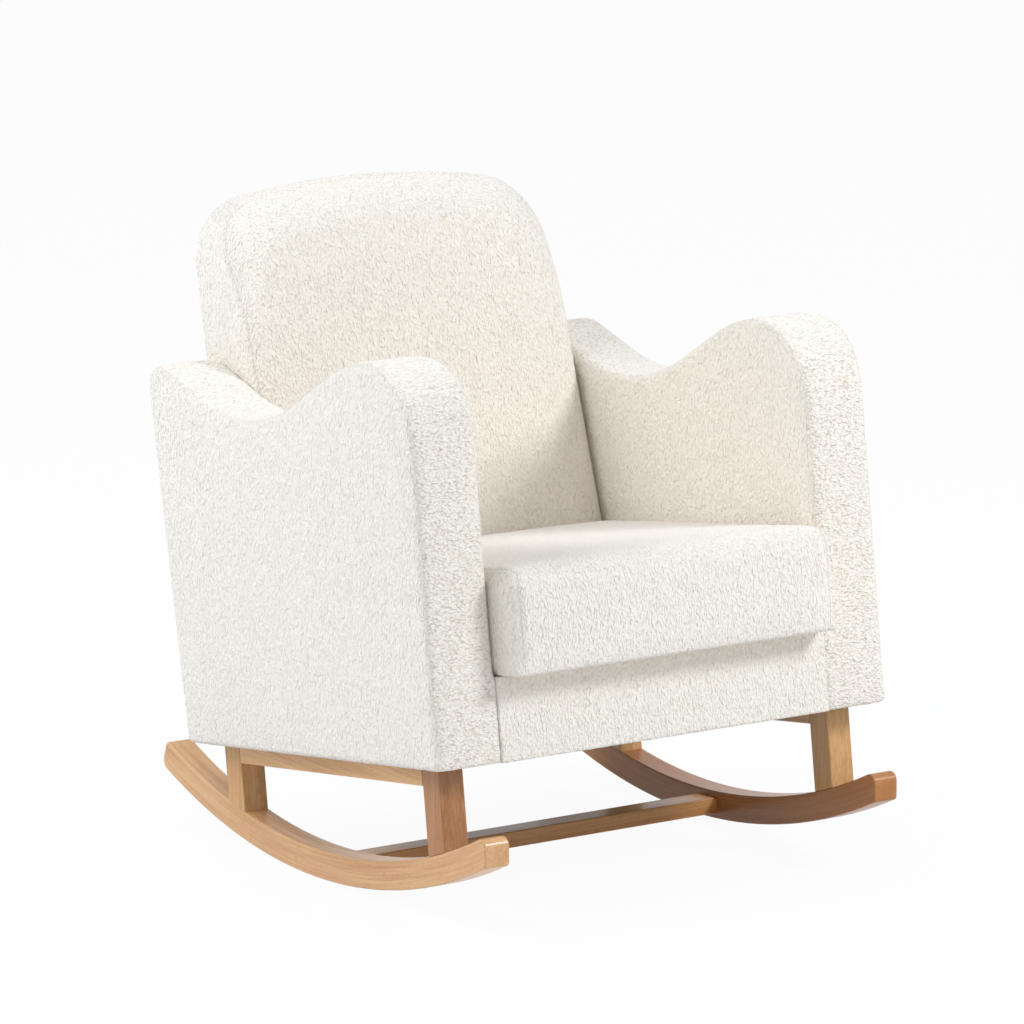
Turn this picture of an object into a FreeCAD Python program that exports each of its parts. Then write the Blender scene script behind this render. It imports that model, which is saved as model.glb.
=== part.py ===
"""Nursing rocking chair: an upholstered armchair with wavy arms, on a beech base with two curved rockers.

Lengths are in millimetres and angles in degrees. The finished chair stands on z = 0 with +Z up, its front faces -Y,
and left is -X, as seen by someone who stands in front of it. The pieces are drawn in three frames:
  floor frame: y = 0 on the line where the rockers touch the floor, z = 0 on the floor
  seat frame: y runs back from the arm fronts and z up from the underside of the body, which leans back at rest
  rear frame: y = 0 on the outside back, with y running back and z up along it
"""
import FreeCAD
import Part
import math
import os

from FreeCAD import Placement, Rotation, Vector

# Stance of the body on the rockers
SEAT_TILT = 8.0  # lean of the body at rest
UNDERSIDE_HEIGHT = 163.0  # underside above the floor, over the rocking line
ROCK_LINE = 377.0  # rocking line behind the arm fronts, along the underside

# Beech base
ROCKER_RADIUS = 980.0  # of the running face
ROCKER_HEIGHT = 38.0
ROCKER_FRONT_ANGLE = 26.27  # from the rocking line to the front end, about the rocker's centre
ROCKER_REAR_ANGLE = 22.0
ROCKER_TOE_ROUND = 12.0  # upper corner of the front end
ROCKER_HEEL_ROUND = 14.0  # lower corner of the rear end
ROCKER_TIP_ROUND = 6.0  # the other two corners
LEG_WIDTH = 37.0
LEG_DEPTH = 40.0
LEG_INSET = 31.5  # from the side of the body
FRONT_LEG_SETBACK = 48.0  # from the arm fronts
REAR_LEG_INSET = 49.0  # from the rear of the body
APRON_HEIGHT = 25.0
STRETCHER_DEPTH = 41.0
STRETCHER_HEIGHT = 22.0
STRETCHER_ANGLE = 3.6  # in front of the rocking line, about the rocker's centre
WOOD_EDGE = 2.0  # eased edges of the base
DOWEL_RADIUS = 5.0
DOWEL_DEPTH = 18.0  # into each of the two pieces
DOWEL_SPREAD = 9.0  # of a pair, from its middle
GLUE_GAP = 0.1  # glue line of a joint and of a dowel in its hole

# Upholstered body
BODY_WIDTH = 708.0
BODY_DEPTH = 629.0  # along the underside
REAR_LEAN = 3.6  # of the outside back and the rear edges of the arms
ARM_WIDTH = 99.0
ARM_TOP = 516.5  # crest of the arm front
ARM_FRONT_ROUND = 102.0
ARM_CREST_LENGTH = 156.0  # from the arm front to where the crest meets the front slope
ARM_CREST_ROUND = 220.0
ARM_FRONT_SLOPE = 22.6
ARM_VALLEY = 406.0  # from the arm front to where the two slopes meet
ARM_VALLEY_ROUND = 290.0
ARM_REAR_SLOPE = 24.8
ARM_REAR_ROUND = 34.0
ARM_EDGE_ROUND = 12.0  # along the edges of the side panels
ARM_SIDE_PAD = 12.0  # foam and cover over the boards
ARM_EDGE_PAD = 18.0  # foam and cover over the board edges
ARM_BOARD = 12.0
ARM_BATTEN = 42.0  # along the arm
ARM_SOLE_HEIGHT = 40.0  # of the batten along the underside
FRONT_BATTEN_HEIGHT = 380.0
SOFT_GAP = 0.5  # between neighbouring soft pieces
BOARD_GAP = 0.3  # between a board and the foam round it
DUST_CLOTH = 1.0
DUST_CLOTH_INSET = 20.0

# Seat box
RAIL_HEIGHT = 92.0
FRONT_RAIL = 22.0
SIDE_RAIL = 26.0
FRONT_PAD = 12.0
FRONT_PAD_ROUND = 8.0
CORNER_BLOCK = 60.0
CORNER_BLOCK_HEIGHT = 68.0
SPRING_COUNT = 5
SPRING_PITCH = 90.0
SPRING_WIRE = 1.9  # radius
SPRING_BEND = 15.0  # radius of the bends
SPRING_HALF_RUN = 18.0  # half of a straight run across the spring
CLIP_WIDTH = 24.0
CLIP_DEPTH = 12.0
CLIP_HEIGHT = 6.0
CLIP_GAP = 0.2
DECK_THICKNESS = 11.0

# Back: a wedge between the raked front of the pad and the outside back
BACK_RAKE = 9.4  # of the front face
BACK_SEAM_RAKE = 10.8  # of the seam round the front face
BACK_DEPTH = 172.0  # at the pad's foot, from the front face to the rear of the body
BACK_SEAM_SETBACK = 13.0  # of the seam behind the front face, at the pad's foot
BACK_FOOT_UP = 128.0  # pad's foot above the underside, at the front
BACK_REAR_FOOT = 112.0  # pad's foot above the underside, at the outside back
BACK_FACE_HEIGHT = 612.0  # seam from the foot to the top of the arch
BACK_TOP = 737.0  # outside back from the underside to the top of the arch
BACK_CORNER = 88.0
BACK_TOP_ROUND = 1130.0  # radius of the arched top
BACK_ROLL = 26.0  # width of the rolled edge of the front face
BACK_SWELL = 11.0  # depth of the rolled edge
BACK_FACE_CORNER = 130.0  # corner radius of the front face, drawn in from that of the seam
BACK_EAR_DRAW = 30.0  # how far the seam is drawn back at the upper corners
BACK_EAR_REACH = 95.0  # height below the corners over which the seam curves back
BACK_SIDE_PAD = 14.0
BACK_FRAME = 45.0  # depth of the timber frame
BACK_PANEL = 6.0
BACK_PANEL_ROUND = 5.0
REAR_RAIL = 25.0
POST_WIDTH = 35.0
POST_TOP = 600.0
CROSS_RAIL_DEPTH = 30.0
CROSS_RAIL_HEIGHT = 60.0
LOWER_RAIL_AT = 135.0
MIDDLE_RAIL_AT = 390.0
STRAP_COUNT = 6
STRAP_FIRST = 190.0
STRAP_PITCH = 78.0
STRAP_WIDTH = 50.0
STRAP_THICKNESS = 2.0
STRAP_LAP = 24.0  # over each post

# Loose seat cushion
CUSHION_OVERHANG = 45.0  # in front of the arm fronts
CUSHION_FRONT_HEIGHT = 138.0
CUSHION_REAR_HEIGHT = 131.0
CUSHION_CROWN = 10.0
CUSHION_FRONT_SWELL = 4.0
CUSHION_SIDE_GAP = 2.5
CUSHION_REAR_GAP = 2.0
CUSHION_END_ROLL = 14.0
CUSHION_NOSE_ROUND = 22.0
CUSHION_TAIL_ROUND = 18.0
CUSHION_FOOT_ROUND = 11.0
CUSHION_COVER = 4.0
ZIP_LENGTH = 380.0
ZIP_WIDTH = 24.0
ZIP_THICKNESS = 1.2
ZIP_GAP = 0.1  # between the tape and the cover round it
CUSHION_LIFT_GAP = 0.5  # between the cushion and the deck

# Fasteners
BOLT_RADIUS = 3.0
BOLT_HEAD_RADIUS = 7.0
BOLT_HEAD = 4.0
BOLT_GAP = 0.2
BOLT_SINK = 5.0  # depth of the recess for a head under the apron
TEE_NUT_RADIUS = 4.5
TEE_NUT_FLANGE = 9.0
TEE_NUT_PLATE = 2.0
TEE_NUT_LENGTH = 12.0
NUT_RADIUS = 6.0
NUT_HEIGHT = 5.0
BASE_BOLT_FROM_LEG = 42.0  # the outer two of the three under each arm
ARM_BOLT_SETBACK = 130.0  # the outer two of the three in each arm, from the front and the rear of the body
ARM_BOLT_UP = 62.0
POST_SCREW_UP = 26.0
POST_SCREW_PITCH = 38.0
POST_SCREW_BITE = 28.0  # into the post

SIDES = (("left", -1), ("right", 1))

# Places that follow from the sizes above
HALF_WIDTH = BODY_WIDTH / 2
ARM_INNER = HALF_WIDTH - ARM_WIDTH
INNER_BOARD = (ARM_INNER + ARM_SIDE_PAD, ARM_INNER + ARM_SIDE_PAD + ARM_BOARD)
OUTER_BOARD = (HALF_WIDTH - ARM_SIDE_PAD - ARM_BOARD, HALF_WIDTH - ARM_SIDE_PAD)
LEG_SPAN = (HALF_WIDTH - LEG_INSET - LEG_WIDTH, HALF_WIDTH - LEG_INSET)
LEG_MIDDLE = sum(LEG_SPAN) / 2
REAR_LEG_SETBACK = BODY_DEPTH - REAR_LEG_INSET - LEG_DEPTH  # from the arm fronts
LEG_CLEAR = (FRONT_LEG_SETBACK + LEG_DEPTH, REAR_LEG_SETBACK)  # between the legs of one side
APRON_BOTTOM = -DUST_CLOTH - APRON_HEIGHT
ROCKER_TOP_RADIUS = ROCKER_RADIUS - ROCKER_HEIGHT
DECK_BOTTOM = RAIL_HEIGHT + CLIP_HEIGHT + BOARD_GAP
DECK_TOP = DECK_BOTTOM + DECK_THICKNESS
SPRING_LEVEL = RAIL_HEIGHT + CLIP_HEIGHT / 2
BACK_HALF = ARM_INNER - SOFT_GAP
BACK_FACE_FOOT = BODY_DEPTH - BACK_DEPTH  # from the arm fronts
BACK_SEAM_FOOT = BACK_FACE_FOOT + BACK_SEAM_SETBACK  # from the arm fronts
PANEL_FRONT = -BACK_PANEL
FRAME_FRONT = PANEL_FRONT - BACK_FRAME
STRAP_FRONT = FRAME_FRONT - STRAP_THICKNESS
RAIL_FRONT = FRAME_FRONT - REAR_RAIL
FRAME_INSET = BACK_SIDE_PAD + BOARD_GAP
POST_SPAN = (BACK_HALF - FRAME_INSET - POST_WIDTH, BACK_HALF - FRAME_INSET)
CUSHION_BOTTOM = DECK_TOP + CUSHION_LIFT_GAP
CUSHION_HALF = ARM_INNER - CUSHION_SIDE_GAP


def sine(degrees):
    return math.sin(math.radians(degrees))


def cosine(degrees):
    return math.cos(math.radians(degrees))


def tangent(degrees):
    return math.tan(math.radians(degrees))


def leaning(degrees, y, z):
    """Placement of a frame that leans back by that angle, with its origin at (y, z) of the outer frame."""
    return Placement(Vector(0, y, z), Rotation(Vector(1, 0, 0), -degrees))


SEAT = leaning(
    SEAT_TILT,
    -ROCK_LINE * cosine(SEAT_TILT),
    UNDERSIDE_HEIGHT + ROCK_LINE * sine(SEAT_TILT),
)
REAR_IN_SEAT = leaning(REAR_LEAN, BODY_DEPTH, 0)
REAR = SEAT.multiply(REAR_IN_SEAT)


def placed(shape, frame):
    """A copy of the shape, moved from that frame to the floor frame."""
    copy = shape.copy()
    copy.Placement = frame.multiply(copy.Placement)
    return copy


def face_plane(depth, height):
    """Seat frame y, at that height above the underside, of the plane so deep behind the back's front face."""
    return BACK_FACE_FOOT + (height - BACK_FOOT_UP) * tangent(BACK_RAKE) + depth / cosine(BACK_RAKE)


def rear_plane(depth, height):
    """Seat frame y, at that height above the underside, of the plane so deep behind the outside back."""
    return BODY_DEPTH + height * tangent(REAR_LEAN) + depth / cosine(REAR_LEAN)


def on_side(side, inner, outer):
    """The x span between two distances from the middle, on the left (-1) or right (1) side."""
    return tuple(sorted((side * inner, side * outer)))


def block(x, y, z):
    """A box between three spans."""
    return Part.makeBox(x[1] - x[0], y[1] - y[0], z[1] - z[0], Vector(x[0], y[0], z[0]))


def rod(radius, start, end):
    """A round rod between two points."""
    axis = end - start
    return Part.makeCylinder(radius, axis.Length, start, axis)


def group(shapes):
    """Separate solids that share a node."""
    return Part.makeCompound(shapes)


def drilled(shape, holes):
    """The shape with each hole cut out of it."""
    return shape.cut(group(holes))


def arc(start, middle, end):
    return Part.Arc(start, middle, end).toShape()


def line(start, end):
    return Part.LineSegment(start, end).toShape()


def side_view(y, z):
    return Vector(0, y, z)


def front_view(x, z):
    return Vector(x, 0, z)


def rounded_corner(before, corner, after, radius):
    """Start, middle and end of the arc that rounds a corner of a flat outline."""
    towards_before = (before - corner).normalize()
    towards_after = (after - corner).normalize()
    half_angle = towards_before.getAngle(towards_after) / 2
    reach = radius / math.tan(half_angle)
    bisector = (towards_before + towards_after).normalize()
    middle = corner + bisector * (radius / math.sin(half_angle) - radius)
    return corner + towards_before * reach, middle, corner + towards_after * reach


def rounded_outline(corners, radii):
    """A closed wire through the corners, each rounded by its radius, or sharp where that is 0."""
    edges = []
    stations = []
    count = len(corners)
    for i, (corner, radius) in enumerate(zip(corners, radii)):
        if radius > 0:
            start, middle, end = rounded_corner(corners[i - 1], corner, corners[(i + 1) % count], radius)
            stations.append((start, end, arc(start, middle, end)))
        else:
            stations.append((corner, corner, None))
    for i, (start, end, bend) in enumerate(stations):
        if bend:
            edges.append(bend)
        edges.append(line(end, stations[(i + 1) % count][0]))
    return Part.Wire(edges)


def prism(wire, x):
    """The solid that a side view outline sweeps across an x span."""
    face = Part.Face(wire)
    face.translate(Vector(x[0], 0, 0))
    return face.extrude(Vector(x[1] - x[0], 0, 0))


def edges_in_plane(shape, x, above):
    """Edges that lie in a plane of constant x, apart from those along the underside at z = above."""
    found = []
    for edge in shape.Edges:
        box = edge.BoundBox
        flat = abs(box.XMin - x) < 1e-6 and abs(box.XMax - x) < 1e-6
        if flat and box.ZMax > above + 1e-6:
            found.append(edge)
    return found


def edge_along_x(shape, y, z):
    """The straight edge along x that passes nearest to (y, z)."""
    across = [e for e in shape.Edges if e.BoundBox.YLength < 1e-6 and e.BoundBox.ZLength < 1e-6]
    return min(across, key=lambda e: math.hypot(e.CenterOfMass.y - y, e.CenterOfMass.z - z))


def eased(shape, axis):
    """The shape with its straight edges along one axis rounded by the base's edge radius."""
    lengths = {"x": "XLength", "y": "YLength", "z": "ZLength"}
    others = [name for key, name in lengths.items() if key != axis]
    edges = [e for e in shape.Edges if all(getattr(e.BoundBox, name) < 1e-6 for name in others)]
    return shape.makeFillet(WOOD_EDGE, edges)


def on_rocker(radius, angle):
    """Floor frame point at that distance from the rockers' centre, that far behind the rocking line."""
    return side_view(radius * sine(angle), ROCKER_RADIUS - radius * cosine(angle))


def rocker_top_under(y):
    """Seat frame height at which an upright line at that y meets the top of the rockers."""
    foot = SEAT.multVec(side_view(y, 0)) - side_view(0, ROCKER_RADIUS)
    upright = SEAT.Rotation.multVec(side_view(0, 1))
    along = foot.dot(upright)
    return -along - math.sqrt(along ** 2 - foot.Length ** 2 + ROCKER_TOP_RADIUS ** 2)


def make_rocker(side):
    front, rear = -ROCKER_FRONT_ANGLE, ROCKER_REAR_ANGLE
    middle = (front + rear) / 2
    heel, toe = on_rocker(ROCKER_RADIUS, rear), on_rocker(ROCKER_RADIUS, front)
    heel_top = on_rocker(ROCKER_TOP_RADIUS, rear)
    toe_top = side_view(toe.y, ROCKER_RADIUS - math.sqrt(ROCKER_TOP_RADIUS ** 2 - toe.y ** 2))  # cut upright
    outline = Part.Wire([
        arc(toe, on_rocker(ROCKER_RADIUS, middle), heel),
        line(heel, heel_top),
        arc(heel_top, on_rocker(ROCKER_TOP_RADIUS, middle), toe_top),
        line(toe_top, toe),
    ])
    span = on_side(side, *LEG_SPAN)
    rocker = prism(outline, span)
    corners = (
        (toe_top, ROCKER_TOE_ROUND), (heel, ROCKER_HEEL_ROUND), (toe, ROCKER_TIP_ROUND), (heel_top, ROCKER_TIP_ROUND),
    )
    for corner, radius in corners:
        rocker = rocker.makeFillet(radius, [edge_along_x(rocker, corner.y, corner.z)])
    for x in span:
        rocker = rocker.makeFillet(WOOD_EDGE, edges_in_plane(rocker, x, -1))
    return rocker


def make_leg(side, setback):
    """A square leg whose foot is cut to the curve of the rocker's top."""
    reach = rocker_top_under(setback) - ROCKER_HEIGHT
    leg = block(on_side(side, *LEG_SPAN), (setback, setback + LEG_DEPTH), (reach, -DUST_CLOTH))
    seat_of_leg = Part.makeCylinder(
        ROCKER_TOP_RADIUS - GLUE_GAP, BODY_WIDTH, Vector(-HALF_WIDTH, 0, ROCKER_RADIUS), Vector(1, 0, 0)
    )
    return placed(eased(leg, "z"), SEAT).common(seat_of_leg)


def make_apron(side):
    span = (LEG_CLEAR[0] + GLUE_GAP, LEG_CLEAR[1] - GLUE_GAP)
    return placed(eased(block(on_side(side, *LEG_SPAN), span, (APRON_BOTTOM, -DUST_CLOTH)), "y"), SEAT)


def stretcher_frame():
    middle = on_rocker(ROCKER_RADIUS - ROCKER_HEIGHT / 2, -STRETCHER_ANGLE)
    return leaning(STRETCHER_ANGLE, middle.y, middle.z)


def make_stretcher():
    half_length = LEG_SPAN[0] - GLUE_GAP
    bar = block(
        (-half_length, half_length),
        (-STRETCHER_DEPTH / 2, STRETCHER_DEPTH / 2),
        (-STRETCHER_HEIGHT / 2, STRETCHER_HEIGHT / 2),
    )
    return placed(eased(bar, "x"), stretcher_frame())


def dowel_pairs(middle, across, along, frame, clearance=0.0):
    """Two dowels either side of a joint's middle, spread across it and running along the given direction."""
    reach = along * (DOWEL_DEPTH + clearance)
    places = [middle + across * (DOWEL_SPREAD * sign) for sign in (-1, 1)]
    return [placed(rod(DOWEL_RADIUS + clearance, place - reach, place + reach), frame) for place in places]


def leg_dowels(clearance=0.0):
    dowels = []
    for _, side in SIDES:
        for setback in (FRONT_LEG_SETBACK, REAR_LEG_SETBACK):
            y = setback + LEG_DEPTH / 2
            foot = Vector(side * LEG_MIDDLE, y, rocker_top_under(y))
            dowels += dowel_pairs(foot, Vector(0, 1, 0), Vector(0, 0, 1), SEAT, clearance)
    return dowels


def apron_dowels(clearance=0.0):
    dowels = []
    for _, side in SIDES:
        for y in LEG_CLEAR:
            joint = Vector(side * LEG_MIDDLE, y, (APRON_BOTTOM - DUST_CLOTH) / 2)
            dowels += dowel_pairs(joint, Vector(1, 0, 0), Vector(0, 1, 0), SEAT, clearance)
    return dowels


def stretcher_dowels(clearance=0.0):
    dowels = []
    for _, side in SIDES:
        joint = Vector(side * LEG_SPAN[0], 0, 0)
        dowels += dowel_pairs(joint, Vector(0, 1, 0), Vector(1, 0, 0), stretcher_frame(), clearance)
    return dowels


def base_bolt_places():
    stations = (LEG_CLEAR[0] + BASE_BOLT_FROM_LEG, sum(LEG_CLEAR) / 2, LEG_CLEAR[1] - BASE_BOLT_FROM_LEG)
    return [(side * LEG_MIDDLE, y) for _, side in SIDES for y in stations]


def base_bolts(clearance=0.0):
    """Bolts up through the aprons into the sole battens of the arms, heads sunk into the aprons."""
    bolts = []
    head_top = APRON_BOTTOM + BOLT_SINK
    for x, y in base_bolt_places():
        head_low = APRON_BOTTOM + (BOLT_SINK - BOLT_HEAD) * (1 if clearance == 0 else -1)
        head = rod(BOLT_HEAD_RADIUS + clearance, Vector(x, y, head_low), Vector(x, y, head_top))
        tip = Vector(x, y, ARM_SOLE_HEIGHT + TEE_NUT_PLATE)
        shank = rod(BOLT_RADIUS + clearance, Vector(x, y, head_low), tip)
        bolts.append(placed(head.fuse(shank).removeSplitter(), SEAT))
    return bolts


def tee_nuts(clearance=0.0):
    nuts = []
    for x, y in base_bolt_places():
        top = Vector(x, y, ARM_SOLE_HEIGHT)
        barrel = rod(TEE_NUT_RADIUS + clearance, top - Vector(0, 0, TEE_NUT_LENGTH), top)
        flange = rod(TEE_NUT_FLANGE, top, top + Vector(0, 0, TEE_NUT_PLATE))
        nuts.append(placed(barrel.fuse(flange).removeSplitter(), SEAT))
    return nuts


def arm_corners(inset):
    """Corners of the arm's side view, each edge but the underside moved in by the inset."""
    slope = tangent(ARM_FRONT_SLOPE)
    valley_height = ARM_TOP - (ARM_VALLEY - ARM_CREST_LENGTH) * slope
    rise = tangent(ARM_REAR_SLOPE)
    lean = tangent(REAR_LEAN)
    crest = ARM_TOP - inset
    front_drop = inset / cosine(ARM_FRONT_SLOPE)
    rear_drop = inset / cosine(ARM_REAR_SLOPE)
    rear_foot = BODY_DEPTH - inset / cosine(REAR_LEAN)
    knee = ARM_CREST_LENGTH + (inset - front_drop) / slope
    valley = ARM_VALLEY + (rear_drop - front_drop) / (slope + rise)
    low = valley_height - (valley - ARM_VALLEY) * slope - front_drop
    rear_top = (low + (rear_foot - valley) * rise) / (1 - lean * rise)
    return [
        side_view(inset, 0),
        side_view(inset, crest),
        side_view(knee, crest),
        side_view(valley, low),
        side_view(rear_foot + rear_top * lean, rear_top),
        side_view(rear_foot, 0),
    ]


def arm_outline(inset):
    radii = [
        0,
        ARM_FRONT_ROUND - inset,
        ARM_CREST_ROUND - inset,
        ARM_VALLEY_ROUND + inset,
        ARM_REAR_ROUND - inset,
        0,
    ]
    return rounded_outline(arm_corners(inset), radii)


def leaning_outline(front, rear, top):
    """Side view of a piece in the seat box or back, from the underside up, parallel to the outside back."""
    corners = [
        side_view(rear_plane(front, 0), 0),
        side_view(rear_plane(front, top), top),
        side_view(rear_plane(rear, top), top),
        side_view(rear_plane(rear, 0), 0),
    ]
    return rounded_outline(corners, [0] * len(corners))


def arm_bolt_places():
    stations = (ARM_BOLT_SETBACK, BODY_DEPTH / 2, BODY_DEPTH - ARM_BOLT_SETBACK)
    return [(side, y) for _, side in SIDES for y in stations]


def arm_bolts(clearance=0.0):
    """Bolts out through the side rails and the inner boards of the arms."""
    bolts = []
    head_face = INNER_BOARD[0] - SIDE_RAIL
    for side, y in arm_bolt_places():
        inner = Vector(side * (head_face - BOLT_HEAD), y, ARM_BOLT_UP)
        face = Vector(side * head_face, y, ARM_BOLT_UP)
        tip = Vector(side * (INNER_BOARD[1] + NUT_HEIGHT), y, ARM_BOLT_UP)
        head = rod(BOLT_HEAD_RADIUS, inner, face)
        bolts.append(placed(head.fuse(rod(BOLT_RADIUS + clearance, inner, tip)).removeSplitter(), SEAT))
    return bolts


def make_arm_nuts():
    nuts = []
    for side, y in arm_bolt_places():
        face = Vector(side * INNER_BOARD[1], y, ARM_BOLT_UP)
        nuts.append(placed(rod(NUT_RADIUS, face, face + Vector(side * NUT_HEIGHT, 0, 0)), SEAT))
    return group(nuts).cut(group(arm_bolts(BOLT_GAP)))


def make_arm_pad(side):
    """Foam and cover over the arm's boards, open underneath and where the seat box meets the inner board."""
    span = on_side(side, ARM_INNER, HALF_WIDTH)
    pad = prism(arm_outline(0), span)
    for x in span:
        pad = pad.makeFillet(ARM_EDGE_ROUND, edges_in_plane(pad, x, 0))
    hollow = prism(arm_outline(ARM_EDGE_PAD), on_side(side, INNER_BOARD[0], OUTER_BOARD[1]))
    rail_front, rail_rear = FRONT_PAD - SOFT_GAP, rear_plane(FRAME_FRONT, RAIL_HEIGHT) + SOFT_GAP
    rail_way = block(
        on_side(side, ARM_INNER - SOFT_GAP, INNER_BOARD[0]), (rail_front, rail_rear), (0, RAIL_HEIGHT + SOFT_GAP)
    )
    return placed(pad.cut(hollow).cut(rail_way), SEAT)


def make_arm_board(side, span):
    return placed(prism(arm_outline(ARM_EDGE_PAD + BOARD_GAP), on_side(side, *span)), SEAT)


def make_arm_battens(side):
    """Front, rear and sole battens, which hold the two boards apart."""
    span = on_side(side, INNER_BOARD[1], OUTER_BOARD[0])
    edge = ARM_EDGE_PAD + BOARD_GAP
    front = block(span, (edge, edge + ARM_BATTEN), (0, FRONT_BATTEN_HEIGHT))
    rear = prism(leaning_outline(-edge - ARM_BATTEN, -edge, FRONT_BATTEN_HEIGHT), span)
    sole = block(span, (edge + ARM_BATTEN, rear_plane(-edge - ARM_BATTEN, 0)), (0, ARM_SOLE_HEIGHT))
    return group([placed(batten, SEAT) for batten in (front, rear, sole)])


def make_front_rail():
    reach = INNER_BOARD[0]
    return placed(block((-reach, reach), (FRONT_PAD, FRONT_PAD + FRONT_RAIL), (0, RAIL_HEIGHT)), SEAT)


def make_rear_rail():
    reach = INNER_BOARD[0]
    return placed(prism(leaning_outline(RAIL_FRONT, FRAME_FRONT, RAIL_HEIGHT), (-reach, reach)), SEAT)


def make_side_rail(side):
    start = FRONT_PAD + FRONT_RAIL
    corners = [
        side_view(start, 0),
        side_view(start, RAIL_HEIGHT),
        side_view(rear_plane(RAIL_FRONT, RAIL_HEIGHT), RAIL_HEIGHT),
        side_view(rear_plane(RAIL_FRONT, 0), 0),
    ]
    span = on_side(side, INNER_BOARD[0] - SIDE_RAIL, INNER_BOARD[0])
    return placed(prism(rounded_outline(corners, [0] * len(corners)), span), SEAT)


def make_corner_blocks():
    """Glued triangles in the front corners of the seat box."""
    blocks = []
    low = (RAIL_HEIGHT - CORNER_BLOCK_HEIGHT) / 2
    corner_y = FRONT_PAD + FRONT_RAIL
    for _, side in SIDES:
        corner_x = side * (INNER_BOARD[0] - SIDE_RAIL)
        corner = Vector(corner_x, corner_y, low)
        across = Vector(corner_x - side * CORNER_BLOCK, corner_y, low)
        along = Vector(corner_x, corner_y + CORNER_BLOCK, low)
        triangle = Part.Face(Part.makePolygon([corner, across, along, corner]))
        blocks.append(placed(triangle.extrude(Vector(0, 0, CORNER_BLOCK_HEIGHT)), SEAT))
    return group(blocks)


def spring_runs():
    """Seat frame y of the straight runs of a zigzag spring, from the front rail to the rear rail."""
    first = FRONT_PAD + FRONT_RAIL / 2
    last = rear_plane((RAIL_FRONT + FRAME_FRONT) / 2, RAIL_HEIGHT)
    count = round((last - first) / (2 * SPRING_BEND))
    step = (last - first) / count
    return [first + i * step for i in range(count + 1)]


def spring_places():
    middle = (SPRING_COUNT - 1) / 2
    return [(i - middle) * SPRING_PITCH for i in range(SPRING_COUNT)]


def make_spring(x):
    """One zigzag wire: straight runs across the seat, joined by half turns."""
    runs = spring_runs()
    bend = (runs[1] - runs[0]) / 2
    edges = []
    for i, y in enumerate(runs):
        side = 1 if i % 2 else -1
        start = Vector(x + side * SPRING_HALF_RUN, y, SPRING_LEVEL)
        end = Vector(x - side * SPRING_HALF_RUN, y, SPRING_LEVEL)
        edges.append(line(start, end))
        if y != runs[-1]:
            turn = end + Vector(-side * bend, bend, 0)
            edges.append(arc(end, turn, end + Vector(0, 2 * bend, 0)))
    path = Part.Wire(edges)
    start = Vector(x - SPRING_HALF_RUN, runs[0], SPRING_LEVEL)
    section = Part.Wire(Part.makeCircle(SPRING_WIRE, start, Vector(1, 0, 0)))
    return placed(path.makePipeShell([section], True, False), SEAT)


def make_spring_clips():
    clips = []
    runs = spring_runs()
    for x in spring_places():
        for y in (runs[0], runs[-1]):
            base = block(
                (x - CLIP_WIDTH / 2, x + CLIP_WIDTH / 2),
                (y - CLIP_DEPTH / 2, y + CLIP_DEPTH / 2),
                (RAIL_HEIGHT, RAIL_HEIGHT + CLIP_HEIGHT),
            )
            wire = rod(
                SPRING_WIRE + CLIP_GAP,
                Vector(x - CLIP_WIDTH / 2, y, SPRING_LEVEL),
                Vector(x + CLIP_WIDTH / 2, y, SPRING_LEVEL),
            )
            clips.append(placed(base.cut(wire), SEAT))
    return group(clips)


def make_deck():
    reach = ARM_INNER - SOFT_GAP
    span = (FRONT_PAD + SOFT_GAP, rear_plane(FRAME_FRONT, RAIL_HEIGHT) - SOFT_GAP)
    return placed(block((-reach, reach), span, (DECK_BOTTOM, DECK_TOP)), SEAT)


def make_front_pad():
    reach = ARM_INNER - SOFT_GAP
    corners = [
        side_view(0, 0), side_view(0, DECK_TOP), side_view(FRONT_PAD - BOARD_GAP, DECK_TOP),
        side_view(FRONT_PAD - BOARD_GAP, 0),
    ]
    return placed(prism(rounded_outline(corners, [0, FRONT_PAD_ROUND, 0, 0]), (-reach, reach)), SEAT)


def make_dust_cover():
    reach = HALF_WIDTH - DUST_CLOTH_INSET
    cloth = block(
        (-reach, reach), (DUST_CLOTH_INSET, BODY_DEPTH - DUST_CLOTH_INSET), (-DUST_CLOTH, 0)
    )
    return placed(cloth, SEAT)


def bent(start, middle, end):
    """An arc through three points, or a line where they lie on one."""
    if (middle - start).cross(end - start).Length < 1e-6:
        return line(start, end)
    return arc(start, middle, end)


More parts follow.
